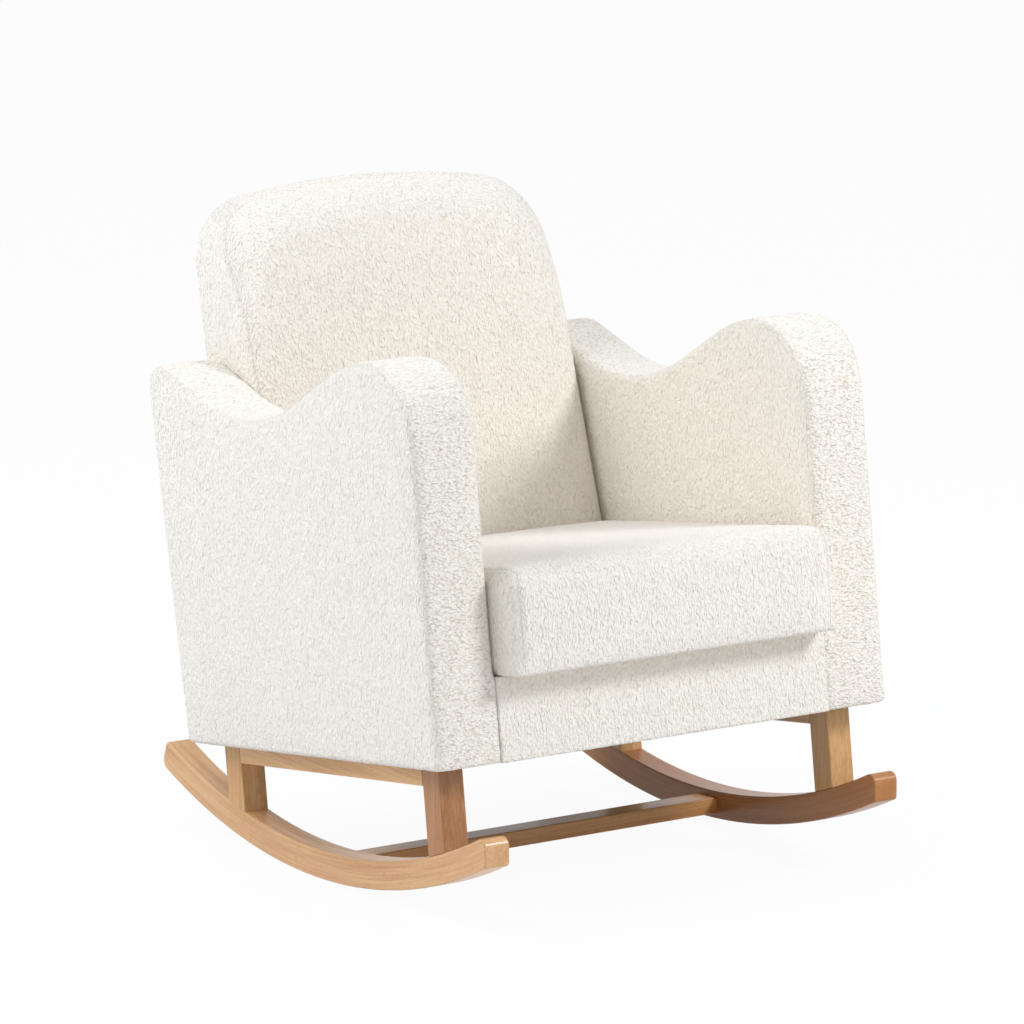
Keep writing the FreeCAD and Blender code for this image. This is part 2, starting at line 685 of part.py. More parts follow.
def loaf_outline(half, top, corner, foot, draw=0.0):
    """Front view of the back: a flat foot, straight sides, round shoulders and an arched top.

    The upper corners may be drawn back out of the plane of the rest."""
    arch_centre = top - BACK_TOP_ROUND
    corner_x = half - corner
    corner_z = arch_centre + math.sqrt((BACK_TOP_ROUND - corner) ** 2 - corner_x ** 2)
    turn = math.atan2(corner_z - arch_centre, corner_x)
    knee = Vector(half, 0, max(corner_z - BACK_EAR_REACH, (foot + corner_z) / 2))
    curl = Vector(half, draw * 0.2, (knee.z + corner_z) / 2)
    cheek = Vector(half, draw * 0.8, corner_z)
    bend = Vector(corner_x + corner * math.cos(turn / 2), draw, corner_z + corner * math.sin(turn / 2))
    shoulder = Vector(BACK_TOP_ROUND * math.cos(turn), draw * 0.8, arch_centre + BACK_TOP_ROUND * math.sin(turn))
    crest = Vector(0, draw * 0.5, top)

    def mirrored(point):
        return Vector(-point.x, point.y, point.z)

    heel = Vector(half, 0, foot)
    return Part.Wire([
        line(mirrored(heel), heel),
        line(heel, knee),
        bent(knee, curl, cheek),
        arc(cheek, bend, shoulder),
        arc(shoulder, crest, mirrored(shoulder)),
        arc(mirrored(shoulder), mirrored(bend), mirrored(cheek)),
        bent(mirrored(cheek), mirrored(curl), mirrored(knee)),
        line(mirrored(knee), mirrored(heel)),
    ])


def rear_outline(inset, foot):
    """Outline of the outside back, inset all round."""
    return loaf_outline(BACK_HALF - inset, BACK_TOP - inset, BACK_CORNER - inset, foot)


def rear_slab(inset, foot, depths):
    """Slab of the outside back's outline between two depths of the rear frame."""
    face = Part.Face(rear_outline(inset, foot))
    face.translate(Vector(0, depths[0], 0))
    return face.extrude(Vector(0, depths[1] - depths[0], 0))


def face_outline(inset):
    """Seat frame section of the pad's front, that far inside the seam: rolled at its edge, crowned further in."""
    rolled = min(inset / BACK_ROLL, 1)
    crowned = max(inset - BACK_ROLL, 0) / (BACK_CORNER - BACK_ROLL)
    depth = BACK_SEAM_SETBACK
    rise = BACK_SWELL * math.sqrt(1 - (1 - rolled) ** 2) + (depth - BACK_SWELL) * crowned
    share = rise / depth
    rake = BACK_SEAM_RAKE + (BACK_RAKE - BACK_SEAM_RAKE) * share
    corner = BACK_CORNER + (BACK_FACE_CORNER - BACK_CORNER) * share
    draw = BACK_EAR_DRAW * (1 - share)
    outline = loaf_outline(BACK_HALF - inset, BACK_FACE_HEIGHT - inset, corner, inset, draw)
    return placed(outline, leaning(rake, BACK_SEAM_FOOT - rise, BACK_FOOT_UP))


def make_back_pad():
    """Foam and cover: a crowned front with a rolled edge, hollow behind for the timber frame."""
    insets = [BACK_CORNER, BACK_ROLL * 1.8, BACK_ROLL, BACK_ROLL * 0.5, BACK_ROLL * 0.2, BACK_ROLL * 0.05, 0]
    sections = [face_outline(inset) for inset in insets]
    rear_edge = placed(rear_outline(0, BACK_REAR_FOOT), REAR_IN_SEAT)
    rear_edge.translate(Vector(0, PANEL_FRONT - BOARD_GAP, 0))
    faces = [Part.Face(sections[0]), Part.Face(rear_edge)]
    faces += Part.makeLoft(sections, False, False).Faces
    faces += Part.makeLoft([sections[-1], rear_edge], False, True).Faces
    skin = Part.makeShell(faces)
    skin.sewShape()
    form = Part.makeSolid(Part.Shell(skin.Faces))
    hollow = placed(rear_slab(BACK_SIDE_PAD, 0, (STRAP_FRONT - BOARD_GAP, 0)), REAR_IN_SEAT)
    return placed(form.cut(hollow), SEAT)


def make_outside_back():
    panel = rear_slab(0, 0, (PANEL_FRONT, 0))
    rim = [e for e in panel.Edges if e.BoundBox.YMin > -1e-6 and e.BoundBox.ZMax > 1e-6]
    return placed(panel.makeFillet(BACK_PANEL_ROUND, rim), REAR)


def make_back_post(side):
    foot_front = side_view(rear_plane(FRAME_FRONT, 0), 0)
    foot_rear = side_view(rear_plane(PANEL_FRONT, 0), 0)
    top_front = REAR_IN_SEAT.multVec(side_view(FRAME_FRONT, POST_TOP))
    top_rear = REAR_IN_SEAT.multVec(side_view(PANEL_FRONT, POST_TOP))
    outline = rounded_outline([foot_front, top_front, top_rear, foot_rear], [0] * 4)
    return placed(prism(outline, on_side(side, *POST_SPAN)), SEAT)


def make_back_arch():
    """Round-shouldered top of the back frame, standing on the posts."""
    depths = (FRAME_FRONT, PANEL_FRONT)
    outer = rear_slab(FRAME_INSET, POST_TOP, depths)
    inner = rear_slab(FRAME_INSET + POST_WIDTH, POST_TOP, depths)
    return placed(outer.cut(inner), REAR)


def make_cross_rail(low):
    reach = POST_SPAN[0]
    depths = (PANEL_FRONT - CROSS_RAIL_DEPTH, PANEL_FRONT)
    return placed(block((-reach, reach), depths, (low, low + CROSS_RAIL_HEIGHT)), REAR)


def make_webbing():
    reach = POST_SPAN[0] + STRAP_LAP
    straps = []
    for i in range(STRAP_COUNT):
        middle = STRAP_FIRST + i * STRAP_PITCH
        heights = (middle - STRAP_WIDTH / 2, middle + STRAP_WIDTH / 2)
        straps.append(placed(block((-reach, reach), (STRAP_FRONT, FRAME_FRONT), heights), REAR))
    return group(straps)


def post_screws(clearance=0.0):
    """Screws back through the rear rail into the foot of each post."""
    screws = []
    for _, side in SIDES:
        x = side * sum(POST_SPAN) / 2
        for z in (POST_SCREW_UP, POST_SCREW_UP + POST_SCREW_PITCH):
            start = Vector(x, RAIL_FRONT - BOLT_HEAD, z)
            head = rod(BOLT_HEAD_RADIUS, start, Vector(x, RAIL_FRONT, z))
            shank = rod(BOLT_RADIUS + clearance, start, Vector(x, FRAME_FRONT + POST_SCREW_BITE + clearance, z))
            screws.append(placed(head.fuse(shank).removeSplitter(), REAR))
    return screws


def cushion_section(x, inset, roll):
    """Side view of the cushion at one x: flat foot, full nose, crowned top and a tail that follows the back."""
    shrink = inset + roll
    low = CUSHION_BOTTOM + shrink
    front = -CUSHION_OVERHANG + shrink
    nose = CUSHION_BOTTOM + CUSHION_FRONT_HEIGHT - shrink
    tail = CUSHION_BOTTOM + CUSHION_REAR_HEIGHT - shrink
    rear_depth = -CUSHION_REAR_GAP - shrink

    def at(y, z):
        return Vector(x, y, z)

    corners = [at(front, low), at(front, nose), at(face_plane(rear_depth, tail), tail),
               at(face_plane(rear_depth, low), low)]
    radii = [CUSHION_FOOT_ROUND, CUSHION_NOSE_ROUND, CUSHION_TAIL_ROUND, CUSHION_FOOT_ROUND]
    bends = []
    for i, radius in enumerate(radii):
        bends.append(rounded_corner(corners[i - 1], corners[i], corners[(i + 1) % 4], radius - inset))
    crown = CUSHION_CROWN * (1 - (x / CUSHION_HALF) ** 2)
    front_middle = (bends[0][2] + bends[1][0]) / 2 - Vector(0, CUSHION_FRONT_SWELL, 0)
    top_middle = (bends[1][2] + bends[2][0]) / 2 + Vector(0, 0, crown + CUSHION_CROWN / 4)
    return Part.Wire([
        arc(*bends[0]),
        arc(bends[0][2], front_middle, bends[1][0]),
        arc(*bends[1]),
        arc(bends[1][2], top_middle, bends[2][0]),
        arc(*bends[2]),
        line(bends[2][2], bends[3][0]),
        arc(*bends[3]),
        line(bends[3][2], bends[0][0]),
    ])


def cushion_layer(low, high):
    """A wide slab between two heights above the cushion's underside."""
    reach = BODY_DEPTH
    return block((-reach, reach), (-reach, reach), (CUSHION_BOTTOM + low, CUSHION_BOTTOM + high))


def cushion_solid(inset):
    """The cushion with every face moved in by the inset: sections across it, drawn in at both ends."""
    half = CUSHION_HALF - inset
    roll = CUSHION_END_ROLL
    in_from_end = [0, roll * 0.15, roll * 0.45, roll, roll * 1.6, roll * 4, half * 0.55]
    stations = []
    for distance in in_from_end:
        short = max(roll - distance, 0)
        stations.append((half - distance, roll - math.sqrt(roll ** 2 - short ** 2)))
    ends = [(-x, drawn_in) for x, drawn_in in stations]
    sections = [cushion_section(x, inset, drawn_in) for x, drawn_in in ends + [(0.0, 0.0)] + stations[::-1]]
    return Part.makeLoft(sections, True, False).common(cushion_layer(inset, BODY_DEPTH))


def cushion_zip(clearance=0.0, behind=0.0):
    """Zip along the middle of the cushion's tail, or the slot for it: with a clearance, and open behind."""
    raked = leaning(BACK_RAKE, BACK_FACE_FOOT, BACK_FOOT_UP)
    middle = (CUSHION_BOTTOM + CUSHION_REAR_HEIGHT / 2 - BACK_FOOT_UP) / cosine(BACK_RAKE)
    rear = -CUSHION_REAR_GAP
    half_length = ZIP_LENGTH / 2 + clearance
    half_width = ZIP_WIDTH / 2 + clearance
    tape = block(
        (-half_length, half_length),
        (rear - ZIP_THICKNESS - clearance, rear + behind),
        (middle - half_width, middle + half_width),
    )
    return placed(tape, raked)


def make_cushion():
    """Foam, the cover's crown and border, its bottom panel and its zip, by node name."""
    outside = cushion_solid(0)
    floor = cushion_layer(0, CUSHION_COVER)
    cover = outside.cut(cushion_solid(CUSHION_COVER)).cut(floor).cut(cushion_zip(ZIP_GAP, ZIP_THICKNESS))
    pieces = {
        "cushion_foam": cushion_solid(CUSHION_COVER + BOARD_GAP),
        "cushion_cover": cover,
        "cushion_bottom_panel": outside.common(floor),
        "cushion_zip": cushion_zip(),
    }
    return {name: placed(shape, SEAT) for name, shape in pieces.items()}


def make_base():
    joint_holes = leg_dowels(GLUE_GAP) + apron_dowels(GLUE_GAP) + stretcher_dowels(GLUE_GAP)
    pieces = {}
    for name, side in SIDES:
        pieces["rocker_" + name] = drilled(make_rocker(side), joint_holes)
        pieces["front_leg_" + name] = drilled(make_leg(side, FRONT_LEG_SETBACK), joint_holes)
        pieces["rear_leg_" + name] = drilled(make_leg(side, REAR_LEG_SETBACK), joint_holes)
        pieces["side_apron_" + name] = drilled(make_apron(side), joint_holes + base_bolts(BOLT_GAP))
    pieces["rocker_stretcher"] = drilled(make_stretcher(), joint_holes)
    pieces["leg_dowels"] = group(leg_dowels())
    pieces["apron_dowels"] = group(apron_dowels())
    pieces["stretcher_dowels"] = group(stretcher_dowels())
    pieces["base_bolts"] = group(base_bolts())
    pieces["base_tee_nuts"] = drilled(group(tee_nuts()), base_bolts(BOLT_GAP))
    return pieces


def make_seat_box():
    pieces = {
        "seat_front_rail": make_front_rail(),
        "seat_rear_rail": drilled(make_rear_rail(), post_screws(GLUE_GAP)),
        "seat_corner_blocks": make_corner_blocks(),
        "seat_springs": group([make_spring(x) for x in spring_places()]),
        "spring_clips": make_spring_clips(),
        "seat_deck": make_deck(),
        "front_panel_pad": make_front_pad(),
        "dust_cover": drilled(make_dust_cover(), base_bolts(BOLT_GAP)),
        "arm_bolts": group(arm_bolts()),
        "arm_bolt_nuts": make_arm_nuts(),
    }
    for name, side in SIDES:
        pieces["seat_side_rail_" + name] = drilled(make_side_rail(side), arm_bolts(BOLT_GAP))
    return pieces


def make_arms():
    pieces = {}
    for name, side in SIDES:
        pieces["arm_inner_board_" + name] = drilled(make_arm_board(side, INNER_BOARD), arm_bolts(BOLT_GAP))
        pieces["arm_outer_board_" + name] = make_arm_board(side, OUTER_BOARD)
        pieces["arm_battens_" + name] = drilled(make_arm_battens(side), base_bolts(BOLT_GAP) + tee_nuts(BOLT_GAP))
        pieces["arm_pad_" + name] = make_arm_pad(side)
    return pieces


def make_back():
    pieces = {
        "back_top_arch": make_back_arch(),
        "back_middle_rail": make_cross_rail(MIDDLE_RAIL_AT),
        "back_lower_rail": make_cross_rail(LOWER_RAIL_AT),
        "back_webbing": make_webbing(),
        "back_pad": make_back_pad(),
        "outside_back": make_outside_back(),
        "back_post_screws": group(post_screws()),
    }
    for name, side in SIDES:
        pieces["back_post_" + name] = drilled(make_back_post(side), post_screws(GLUE_GAP))
    return pieces


def main():
    pieces = {**make_base(), **make_seat_box(), **make_arms(), **make_back(), **make_cushion()}
    extent = group(list(pieces.values())).optimalBoundingBox(False)
    to_origin = Placement(Vector(0, -(extent.YMin + extent.YMax) / 2, 0), Rotation())
    os.makedirs("parts", exist_ok=True)
    for name, shape in pieces.items():
        finished = placed(shape, to_origin)
        if not finished.isValid():
            print("not valid:", name)
        finished.exportStep("parts/" + name + ".step")
    print("pieces", len(pieces), "size", extent.XLength, extent.YLength, extent.ZLength, "low", extent.ZMin)
    print("floor frame moved back by", to_origin.Base.y)


main()
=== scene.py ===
# %% [markdown]
# # A nursing rocking chair
#
# A low chair in looped off-white wool stands on two bent beech rockers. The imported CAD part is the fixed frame: its
# beech is shown as it is, and everything soft is made again here as cloth over foam, at the same places and sizes.
# Each cell below makes one thing, says how it is made on the real chair, and prints what it made.

# %% Start
import math

import bmesh
import bpy
import numpy as np
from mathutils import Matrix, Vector, noise


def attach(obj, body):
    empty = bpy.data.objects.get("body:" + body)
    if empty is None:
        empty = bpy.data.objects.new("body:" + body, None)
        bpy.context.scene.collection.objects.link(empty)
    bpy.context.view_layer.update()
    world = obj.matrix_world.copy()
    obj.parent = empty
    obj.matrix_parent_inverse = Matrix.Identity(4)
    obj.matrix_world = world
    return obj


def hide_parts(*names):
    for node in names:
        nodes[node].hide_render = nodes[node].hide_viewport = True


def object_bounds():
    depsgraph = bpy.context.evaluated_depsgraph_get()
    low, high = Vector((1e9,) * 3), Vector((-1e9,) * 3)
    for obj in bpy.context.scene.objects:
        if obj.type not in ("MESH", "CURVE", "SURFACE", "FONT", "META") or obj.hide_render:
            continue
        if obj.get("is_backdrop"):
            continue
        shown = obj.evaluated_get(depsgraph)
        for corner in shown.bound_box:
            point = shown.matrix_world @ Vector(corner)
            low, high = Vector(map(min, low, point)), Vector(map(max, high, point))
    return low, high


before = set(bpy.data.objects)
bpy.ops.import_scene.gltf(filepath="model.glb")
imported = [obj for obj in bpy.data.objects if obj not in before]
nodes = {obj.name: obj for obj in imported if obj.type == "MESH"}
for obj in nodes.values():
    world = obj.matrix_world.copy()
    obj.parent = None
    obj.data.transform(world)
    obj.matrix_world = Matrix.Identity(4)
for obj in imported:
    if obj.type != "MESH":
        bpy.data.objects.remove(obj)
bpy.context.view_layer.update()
scene = bpy.context.scene

# %% [markdown]
# ## Where things are
#
# The upholstered body leans back on its base, so its parts are laid out in the seat frame, in millimetres: y runs back
# from the arm fronts and z up from the underside. `to_shared` turns that into the metres of the shared frame.

# %% Frames
SEAT_TILT = math.radians(8.0)
SEAT_Y, SEAT_Z = -354.87, 215.47  # of the seat frame's origin, in the shared frame
ARM_IN, ARM_OUT = 255.0, 354.0  # from the middle of the chair
BODY_DEPTH = 629.0
REAR_LEAN = math.radians(3.6)  # of the outside back
UNDER_CUSHION = 109.3  # top of the deck
START = 1.5  # how far inside its finished form a cover starts


def leaned(points, angle, y, z):
    """Points turned back by the angle about x, then moved to (y, z)."""
    x, depth, height = np.moveaxis(np.asarray(points, float), -1, 0)
    cosine, sine = np.cos(angle), np.sin(angle)
    return np.stack([x, cosine * depth + sine * height + y, cosine * height - sine * depth + z], -1)


def to_shared(points):
    """Seat frame points in millimetres as points of the shared frame in metres."""
    return leaned(points, SEAT_TILT, SEAT_Y, SEAT_Z) / 1000


# %% [markdown]
# ## Shader arithmetic
#
# Finishes are worked out from object coordinates. A `Wire` is an output of a shader node: sums and products of wires
# add the Math nodes for them, and `node` adds any other kind of node, so that a finish reads as a formula.


# %% Shader wires
class Wire:
    """An output socket of a shader tree."""

    def __init__(self, tree, output):
        self.tree = tree
        self.output = output

    def node(self, kind, inputs, out=0, **settings):
        """A node of that kind with these inputs and settings, as the wire of one of its outputs."""
        made = self.tree.nodes.new(kind)
        for key, value in settings.items():
            setattr(made, key, value)
        for key, value in inputs.items():
            if isinstance(value, Wire):
                self.tree.links.new(value.output, made.inputs[key])
            else:
                made.inputs[key].default_value = value
        return Wire(self.tree, made.outputs[out])

    def maths(self, operation, first, second=0.0):
        return self.node("ShaderNodeMath", {0: first, 1: second}, operation=operation)

    def __add__(self, other):
        return self.maths("ADD", self, other)

    def __sub__(self, other):
        return self.maths("SUBTRACT", self, other)

    def __rsub__(self, other):
        return self.maths("SUBTRACT", other, self)

    def __mul__(self, other):
        return self.maths("MULTIPLY", self, other)

    def times(self, vector):
        return self.node("ShaderNodeVectorMath", {0: self, 1: vector}, operation="MULTIPLY")

    def parts(self):
        """The x, y and z of this vector."""
        split = self.node("ShaderNodeSeparateXYZ", {0: self}).output.node
        return [Wire(self.tree, part) for part in split.outputs]

    def vector(self, x, y, z):
        return self.node("ShaderNodeCombineXYZ", {0: x, 1: y, 2: z})

    def between(self, low, high, start=0.0, end=1.0):
        """This value from low to high as start to end, eased at both."""
        inputs = {"Value": self, "From Min": low, "From Max": high, "To Min": start, "To Max": end}
        return self.node("ShaderNodeMapRange", inputs, interpolation_type="SMOOTHSTEP")

    def mixed(self, first, second):
        """The first colour where this is 0 and the second where it is 1."""
        return self.node("ShaderNodeMix", {0: self, 6: first, 7: second}, out=2, data_type="RGBA")

    def noise(self, scale, detail=2.0, distortion=0.0):
        inputs = {"Vector": self, "Scale": scale, "Detail": detail, "Distortion": distortion}
        return self.node("ShaderNodeTexNoise", inputs)


def tone(red, green, blue):
    """A colour given from 0 to 255, as a picture shows it, in linear light."""
    parts = [v / 255 for v in (red, green, blue)]
    return tuple(v / 12.92 if v <= 0.04045 else ((v + 0.055) / 1.055) ** 2.4 for v in parts) + (1.0,)


def finish(name, recipe, **constants):
    """A material. The recipe gets the object coordinates and returns the wires of its inputs by name."""
    made = bpy.data.materials.new(name)
    made.use_nodes = True
    tree = made.node_tree
    shader = tree.nodes["Principled BSDF"]
    for key, value in constants.items():
        shader.inputs[key.replace("_", " ")].default_value = value
    place = Wire(tree, tree.nodes.new("ShaderNodeTexCoord").outputs["Object"])
    for key, wire in recipe(place).items():
        tree.links.new(wire.output, shader.inputs[key])
    return made


# %% [markdown]
# ## Looped wool
#
# The cover is a boucle: a yarn with small loops, 3 mm wide and twice as long, that catch the light on top and shade the
# hollows between them. The loops lie along the run of each cut piece, upright on the panels and across on the strips,
# so each direction is a finish of its own. The loops are a curled noise, drawn out along the run and cut apart by the
# rims of bent cells, with a finer noise as the fluff on them. Most of what is seen of them is their bump, and the
# hollows also get a painted shade: a tone a little darker than the tops. The `seam` attribute of a cover darkens the
# line along its seams with painted shade, for the shadow in the groove where the loops are pulled in.


# %% Looped wool
WOOL_TOP = tone(254, 245, 230)
# painted shade of the groove along a seam
WOOL_SEAM_SHADE = tone(192, 176, 158)
CELL_BEND = 1.6  # in widths of a loop
RIM_SHARE, FLUFF_SHARE = 0.7, 0.3  # of the height, beside the curls
RELIEF = 0.95  # of the bump, in widths of a loop


def looped_wool(draw, size, hollow_shade):
    """Recipe of the wool: loops about that wide in metres, drawn out along the axes where draw is
    small, and the painted shade of the hollows between them."""

    def recipe(place):
        drawn = place.times(tuple(part / size for part in draw))
        wander = drawn.noise(0.45, detail=1.0)
        bent = drawn.node("ShaderNodeVectorMath", {0: drawn, 1: wander * CELL_BEND}, operation="ADD")
        cells = bent.node("ShaderNodeTexVoronoi", {"Vector": bent, "Scale": 1.0}, feature="F1")
        curls = drawn.noise(0.9, detail=1.0, distortion=0.6)
        fluff = place.noise(2.6 / size, detail=1.0)
        height = curls - cells * cells * RIM_SHARE + fluff * FLUFF_SHARE
        # painted shade: the hollows between the loops take a darker tone than the tops
        loops = height.between(0.05, 0.65).mixed(hollow_shade, WOOL_TOP)
        seam = place.node("ShaderNodeAttribute", {}, out="Fac", attribute_name="seam")
        # painted shade along the seams, darker where a seam is drawn in more
        colour = (seam * seam).mixed(loops, WOOL_SEAM_SHADE)
        relief = {"Height": height, "Strength": 1.0, "Distance": size * RELIEF}
        bump = height.node("ShaderNodeBump", relief)
        return {"Base Color": colour, "Normal": bump}

    return recipe


# the last tone of each is the painted shade of its hollows, darker on the coarser strips
panel_loops = looped_wool((1.0, 1.0, 0.55), 0.0028, tone(245, 233, 216))
strip_loops = looped_wool((0.55, 1.0, 1.0), 0.0027, tone(235, 221, 203))
wool_upright = finish("wool_upright", panel_loops, Roughness=0.95, Sheen_Weight=0.5)
wool_across = finish("wool_across", strip_loops, Roughness=0.95, Sheen_Weight=0.5)
print("wool finishes", wool_upright.name, wool_across.name)

# %% [markdown]
# ## Beech
#
# Steamed beech has a pale honey ground, soft growth lines and many short dark flecks along the grain, under a satin
# clear lacquer. The grain follows the length of each piece, and pieces cut from other boards differ a little in shade.
# The right rocker and the left front leg are much darker again: that is painted shade, for the shade on the rocker's
# inner side and on the leg's front under the body. In the bent rockers the grain follows the bend, so there the finish
# works in turns about the rocker's centre.


# %% Beech
ROCKER_CENTRE = (0.018455, 0.980)  # y and z of the axis the rockers are bent about
BEECH_LIGHT = (228, 184, 133)
BEECH_DARK = (200, 150, 99)
BEECH_FLECK = (160, 110, 70)
GROWTH = (34.0, 2.2, 34.0)  # repeats per metre across, along and deep: of growth lines,
FIBRES = (420.0, 9.0, 420.0)  # of the fine grain
FLECKS = (900.0, 130.0, 900.0)  # and of the flecks


def beech(grain, shade):
    """Recipe of lacquered beech of that shade, from the place in the wood as across, along and deep."""
    colours = BEECH_LIGHT, BEECH_DARK, BEECH_FLECK
    light, dark, fleck = [tone(*np.multiply(colour, shade)) for colour in colours]

    def recipe(place):
        wood = grain(place)
        lines = wood.times(GROWTH).noise(1.0, detail=3.0, distortion=0.6)
        fine = wood.times(FIBRES).noise(1.0, detail=2.0)
        flecks = wood.times(FLECKS).noise(1.0, detail=1.0).between(0.62, 0.72)
        ground = (lines * 0.55 + fine * 0.45).between(0.34, 0.68).mixed(light, dark)
        colour = (flecks * 0.45).mixed(ground, fleck)
        rough = fine.between(0.2, 0.8, 0.34, 0.44)
        bump = fine.node("ShaderNodeBump", {"Height": fine, "Strength": 0.06, "Distance": 0.0004})
        return {"Base Color": colour, "Roughness": rough, "Normal": bump}

    return recipe


def straight_grain(across, along, deep):
    """Grain along one of the axes X, Y and Z, with the other two beside it."""

    def grain(place):
        axes = dict(zip("XYZ", place.parts()))
        return place.vector(axes[across], axes[along], axes[deep])

    return grain


def bent_grain(place):
    """Grain that follows the bend of a rocker."""
    x, y, z = place.parts()
    back = y - ROCKER_CENTRE[0]
    down = ROCKER_CENTRE[1] - z
    along = back.maths("ARCTAN2", back, down) * ROCKER_CENTRE[1]
    deep = back.maths("SQRT", back * back + down * down)
    return place.vector(x, along, deep)


def lacquered(name, grain, shade):
    return finish(name, beech(grain, shade), Coat_Weight=0.4, Coat_Roughness=0.2, Specular_IOR_Level=0.2)


upright, lengthwise = straight_grain("X", "Z", "Y"), straight_grain("X", "Y", "Z")
crosswise = straight_grain("Y", "X", "Z")
beech_rocker_left = lacquered("beech_rocker_left", bent_grain, (0.98, 0.965, 0.97))
# painted shade: this rocker is much darker than the left one, for the shade on its inner side under the chair
beech_rocker_right_painted_shade = lacquered("beech_rocker_right_painted_shade", bent_grain, (0.81, 0.67, 0.53))
beech_leg = lacquered("beech_leg", upright, (0.95, 0.92, 0.85))
# painted shade: this leg's finish is darker, for the shade under the body on its front
beech_leg_painted_shade = lacquered("beech_leg_painted_shade", upright, (0.80, 0.71, 0.66))
beech_apron = lacquered("beech_apron", lengthwise, (1.03, 1.01, 0.98))
beech_stretcher = lacquered("beech_stretcher", crosswise, (1.0, 0.92, 0.82))
print("beech finishes with", len(beech_leg.node_tree.nodes), "nodes each")

# %% [markdown]
# ## What is under the cover
#
# Raw frame timber, plywood, foam, felt, webbing, zinc and spring steel sit inside and show only when the chair is
# opened or the cushion lifted out. Each gets a simple finish of its own: one noise that shifts its tone, and a bump.


# %% Hidden finishes
def mottled(first, second, scale, relief):
    """Recipe of a plain stuff whose tone drifts between two colours."""

    def recipe(place):
        drift = place.times(scale).noise(1.0, detail=4.0)
        bump = drift.node("ShaderNodeBump", {"Height": drift, "Strength": relief, "Distance": 0.001})
        return {"Base Color": drift.between(0.3, 0.7).mixed(first, second), "Normal": bump}

    return recipe


def plain(name, first, second, scale, relief, rough, metallic=0.0):
    """A finish of two tones, with the repeats of its noise per metre along x, y and z."""
    recipe = mottled(tone(*first), tone(*second), scale, relief)
    return finish(name, recipe, Roughness=rough, Metallic=metallic)


timber = plain("raw_timber", (214, 186, 146), (190, 156, 112), (60, 60, 8), 0.1, 0.7)
plywood = plain("birch_plywood", (222, 198, 160), (198, 168, 124), (30, 12, 40), 0.1, 0.65)
foam = plain("cut_foam", (236, 226, 190), (222, 210, 168), (700, 700, 700), 0.4, 1.0)
felt = plain("grey_felt", (150, 148, 144), (116, 114, 112), (420, 420, 420), 0.5, 1.0)
lining = plain("cotton_lining", (232, 228, 218), (214, 208, 196), (1200, 1200, 300), 0.3, 0.95)
dust_cloth = plain("black_dust_cloth", (34, 33, 33), (22, 21, 21), (900, 900, 900), 0.4, 1.0)
webbing = plain("elastic_webbing", (92, 84, 74), (62, 56, 50), (160, 20, 900), 0.4, 0.95)
thread = plain("sewing_thread", (226, 218, 204), (206, 196, 180), (900, 900, 900), 0.2, 0.8)
nylon = plain("zip_nylon", (226, 221, 210), (212, 206, 194), (500, 500, 500), 0.2, 0.5)
zinc = plain("zinc_plate", (196, 198, 200), (168, 170, 174), (80, 80, 80), 0.05, 0.35, metallic=1.0)
steel = plain("spring_steel", (128, 126, 124), (92, 90, 88), (120, 120, 120), 0.05, 0.4, metallic=1.0)
print("finishes so far", len(bpy.data.materials))

# %% [markdown]
# ## Finishes of the CAD nodes
#
# The nodes of the frame keep their own meshes. Only their material slots change: each node takes the finish with the
# longest name that its own name starts with.

# %% Dress the CAD nodes
FINISH_OF = {
    "rocker_left": beech_rocker_left, "rocker_right": beech_rocker_right_painted_shade,
    "rocker_stretcher": beech_stretcher, "side_apron": beech_apron,
    "front_leg": beech_leg, "rear_leg": beech_leg, "front_leg_left": beech_leg_painted_shade,
    "leg_dowels": timber, "apron_dowels": timber, "stretcher_dowels": timber,
    "seat_corner_blocks": timber, "seat_front_rail": timber, "seat_rear_rail": timber,
    "seat_side_rail": timber,
    "arm_battens": timber, "back_": timber, "back_webbing": webbing, "back_post_screws": zinc,
    "arm_inner_board": plywood, "arm_outer_board": plywood,
    "arm_bolts": zinc, "arm_bolt_nuts": zinc, "base_bolts": zinc, "base_tee_nuts": zinc,
    "seat_springs": steel, "spring_clips": zinc,
    "cushion_foam": foam, "cushion_zip": nylon, "cushion_bottom_panel": lining,
    "cushion_cover": wool_upright, "arm_pad": wool_upright, "back_pad": wool_upright,
    "front_panel_pad": wool_upright, "outside_back": wool_upright,
    "seat_deck": felt, "dust_cover": dust_cloth,
}
for name, node in nodes.items():
    key = max((key for key in FINISH_OF if name.startswith(key)), key=len)
    for slot in node.material_slots:
        slot.material = FINISH_OF[key]
print("dressed", len(nodes), "nodes")

# %% [markdown]
# ## A sewn cover
#
# Each upholstered piece is two flat panels with a strip sewn between them: the two sides of an arm and the strip over
# its top, the two ends of the cushion and the cloth wrapped round it, the front and rear of the back and the gusset
# between. So all covers come from one function. An outline is rounded, cut into four sides, filled with a grid
# (a Coons patch, which keeps the cells near square), and joined to the grid of the other panel by rows of the strip.


# %% Outlines and grids
def unit(vector):
    return vector / np.linalg.norm(vector)


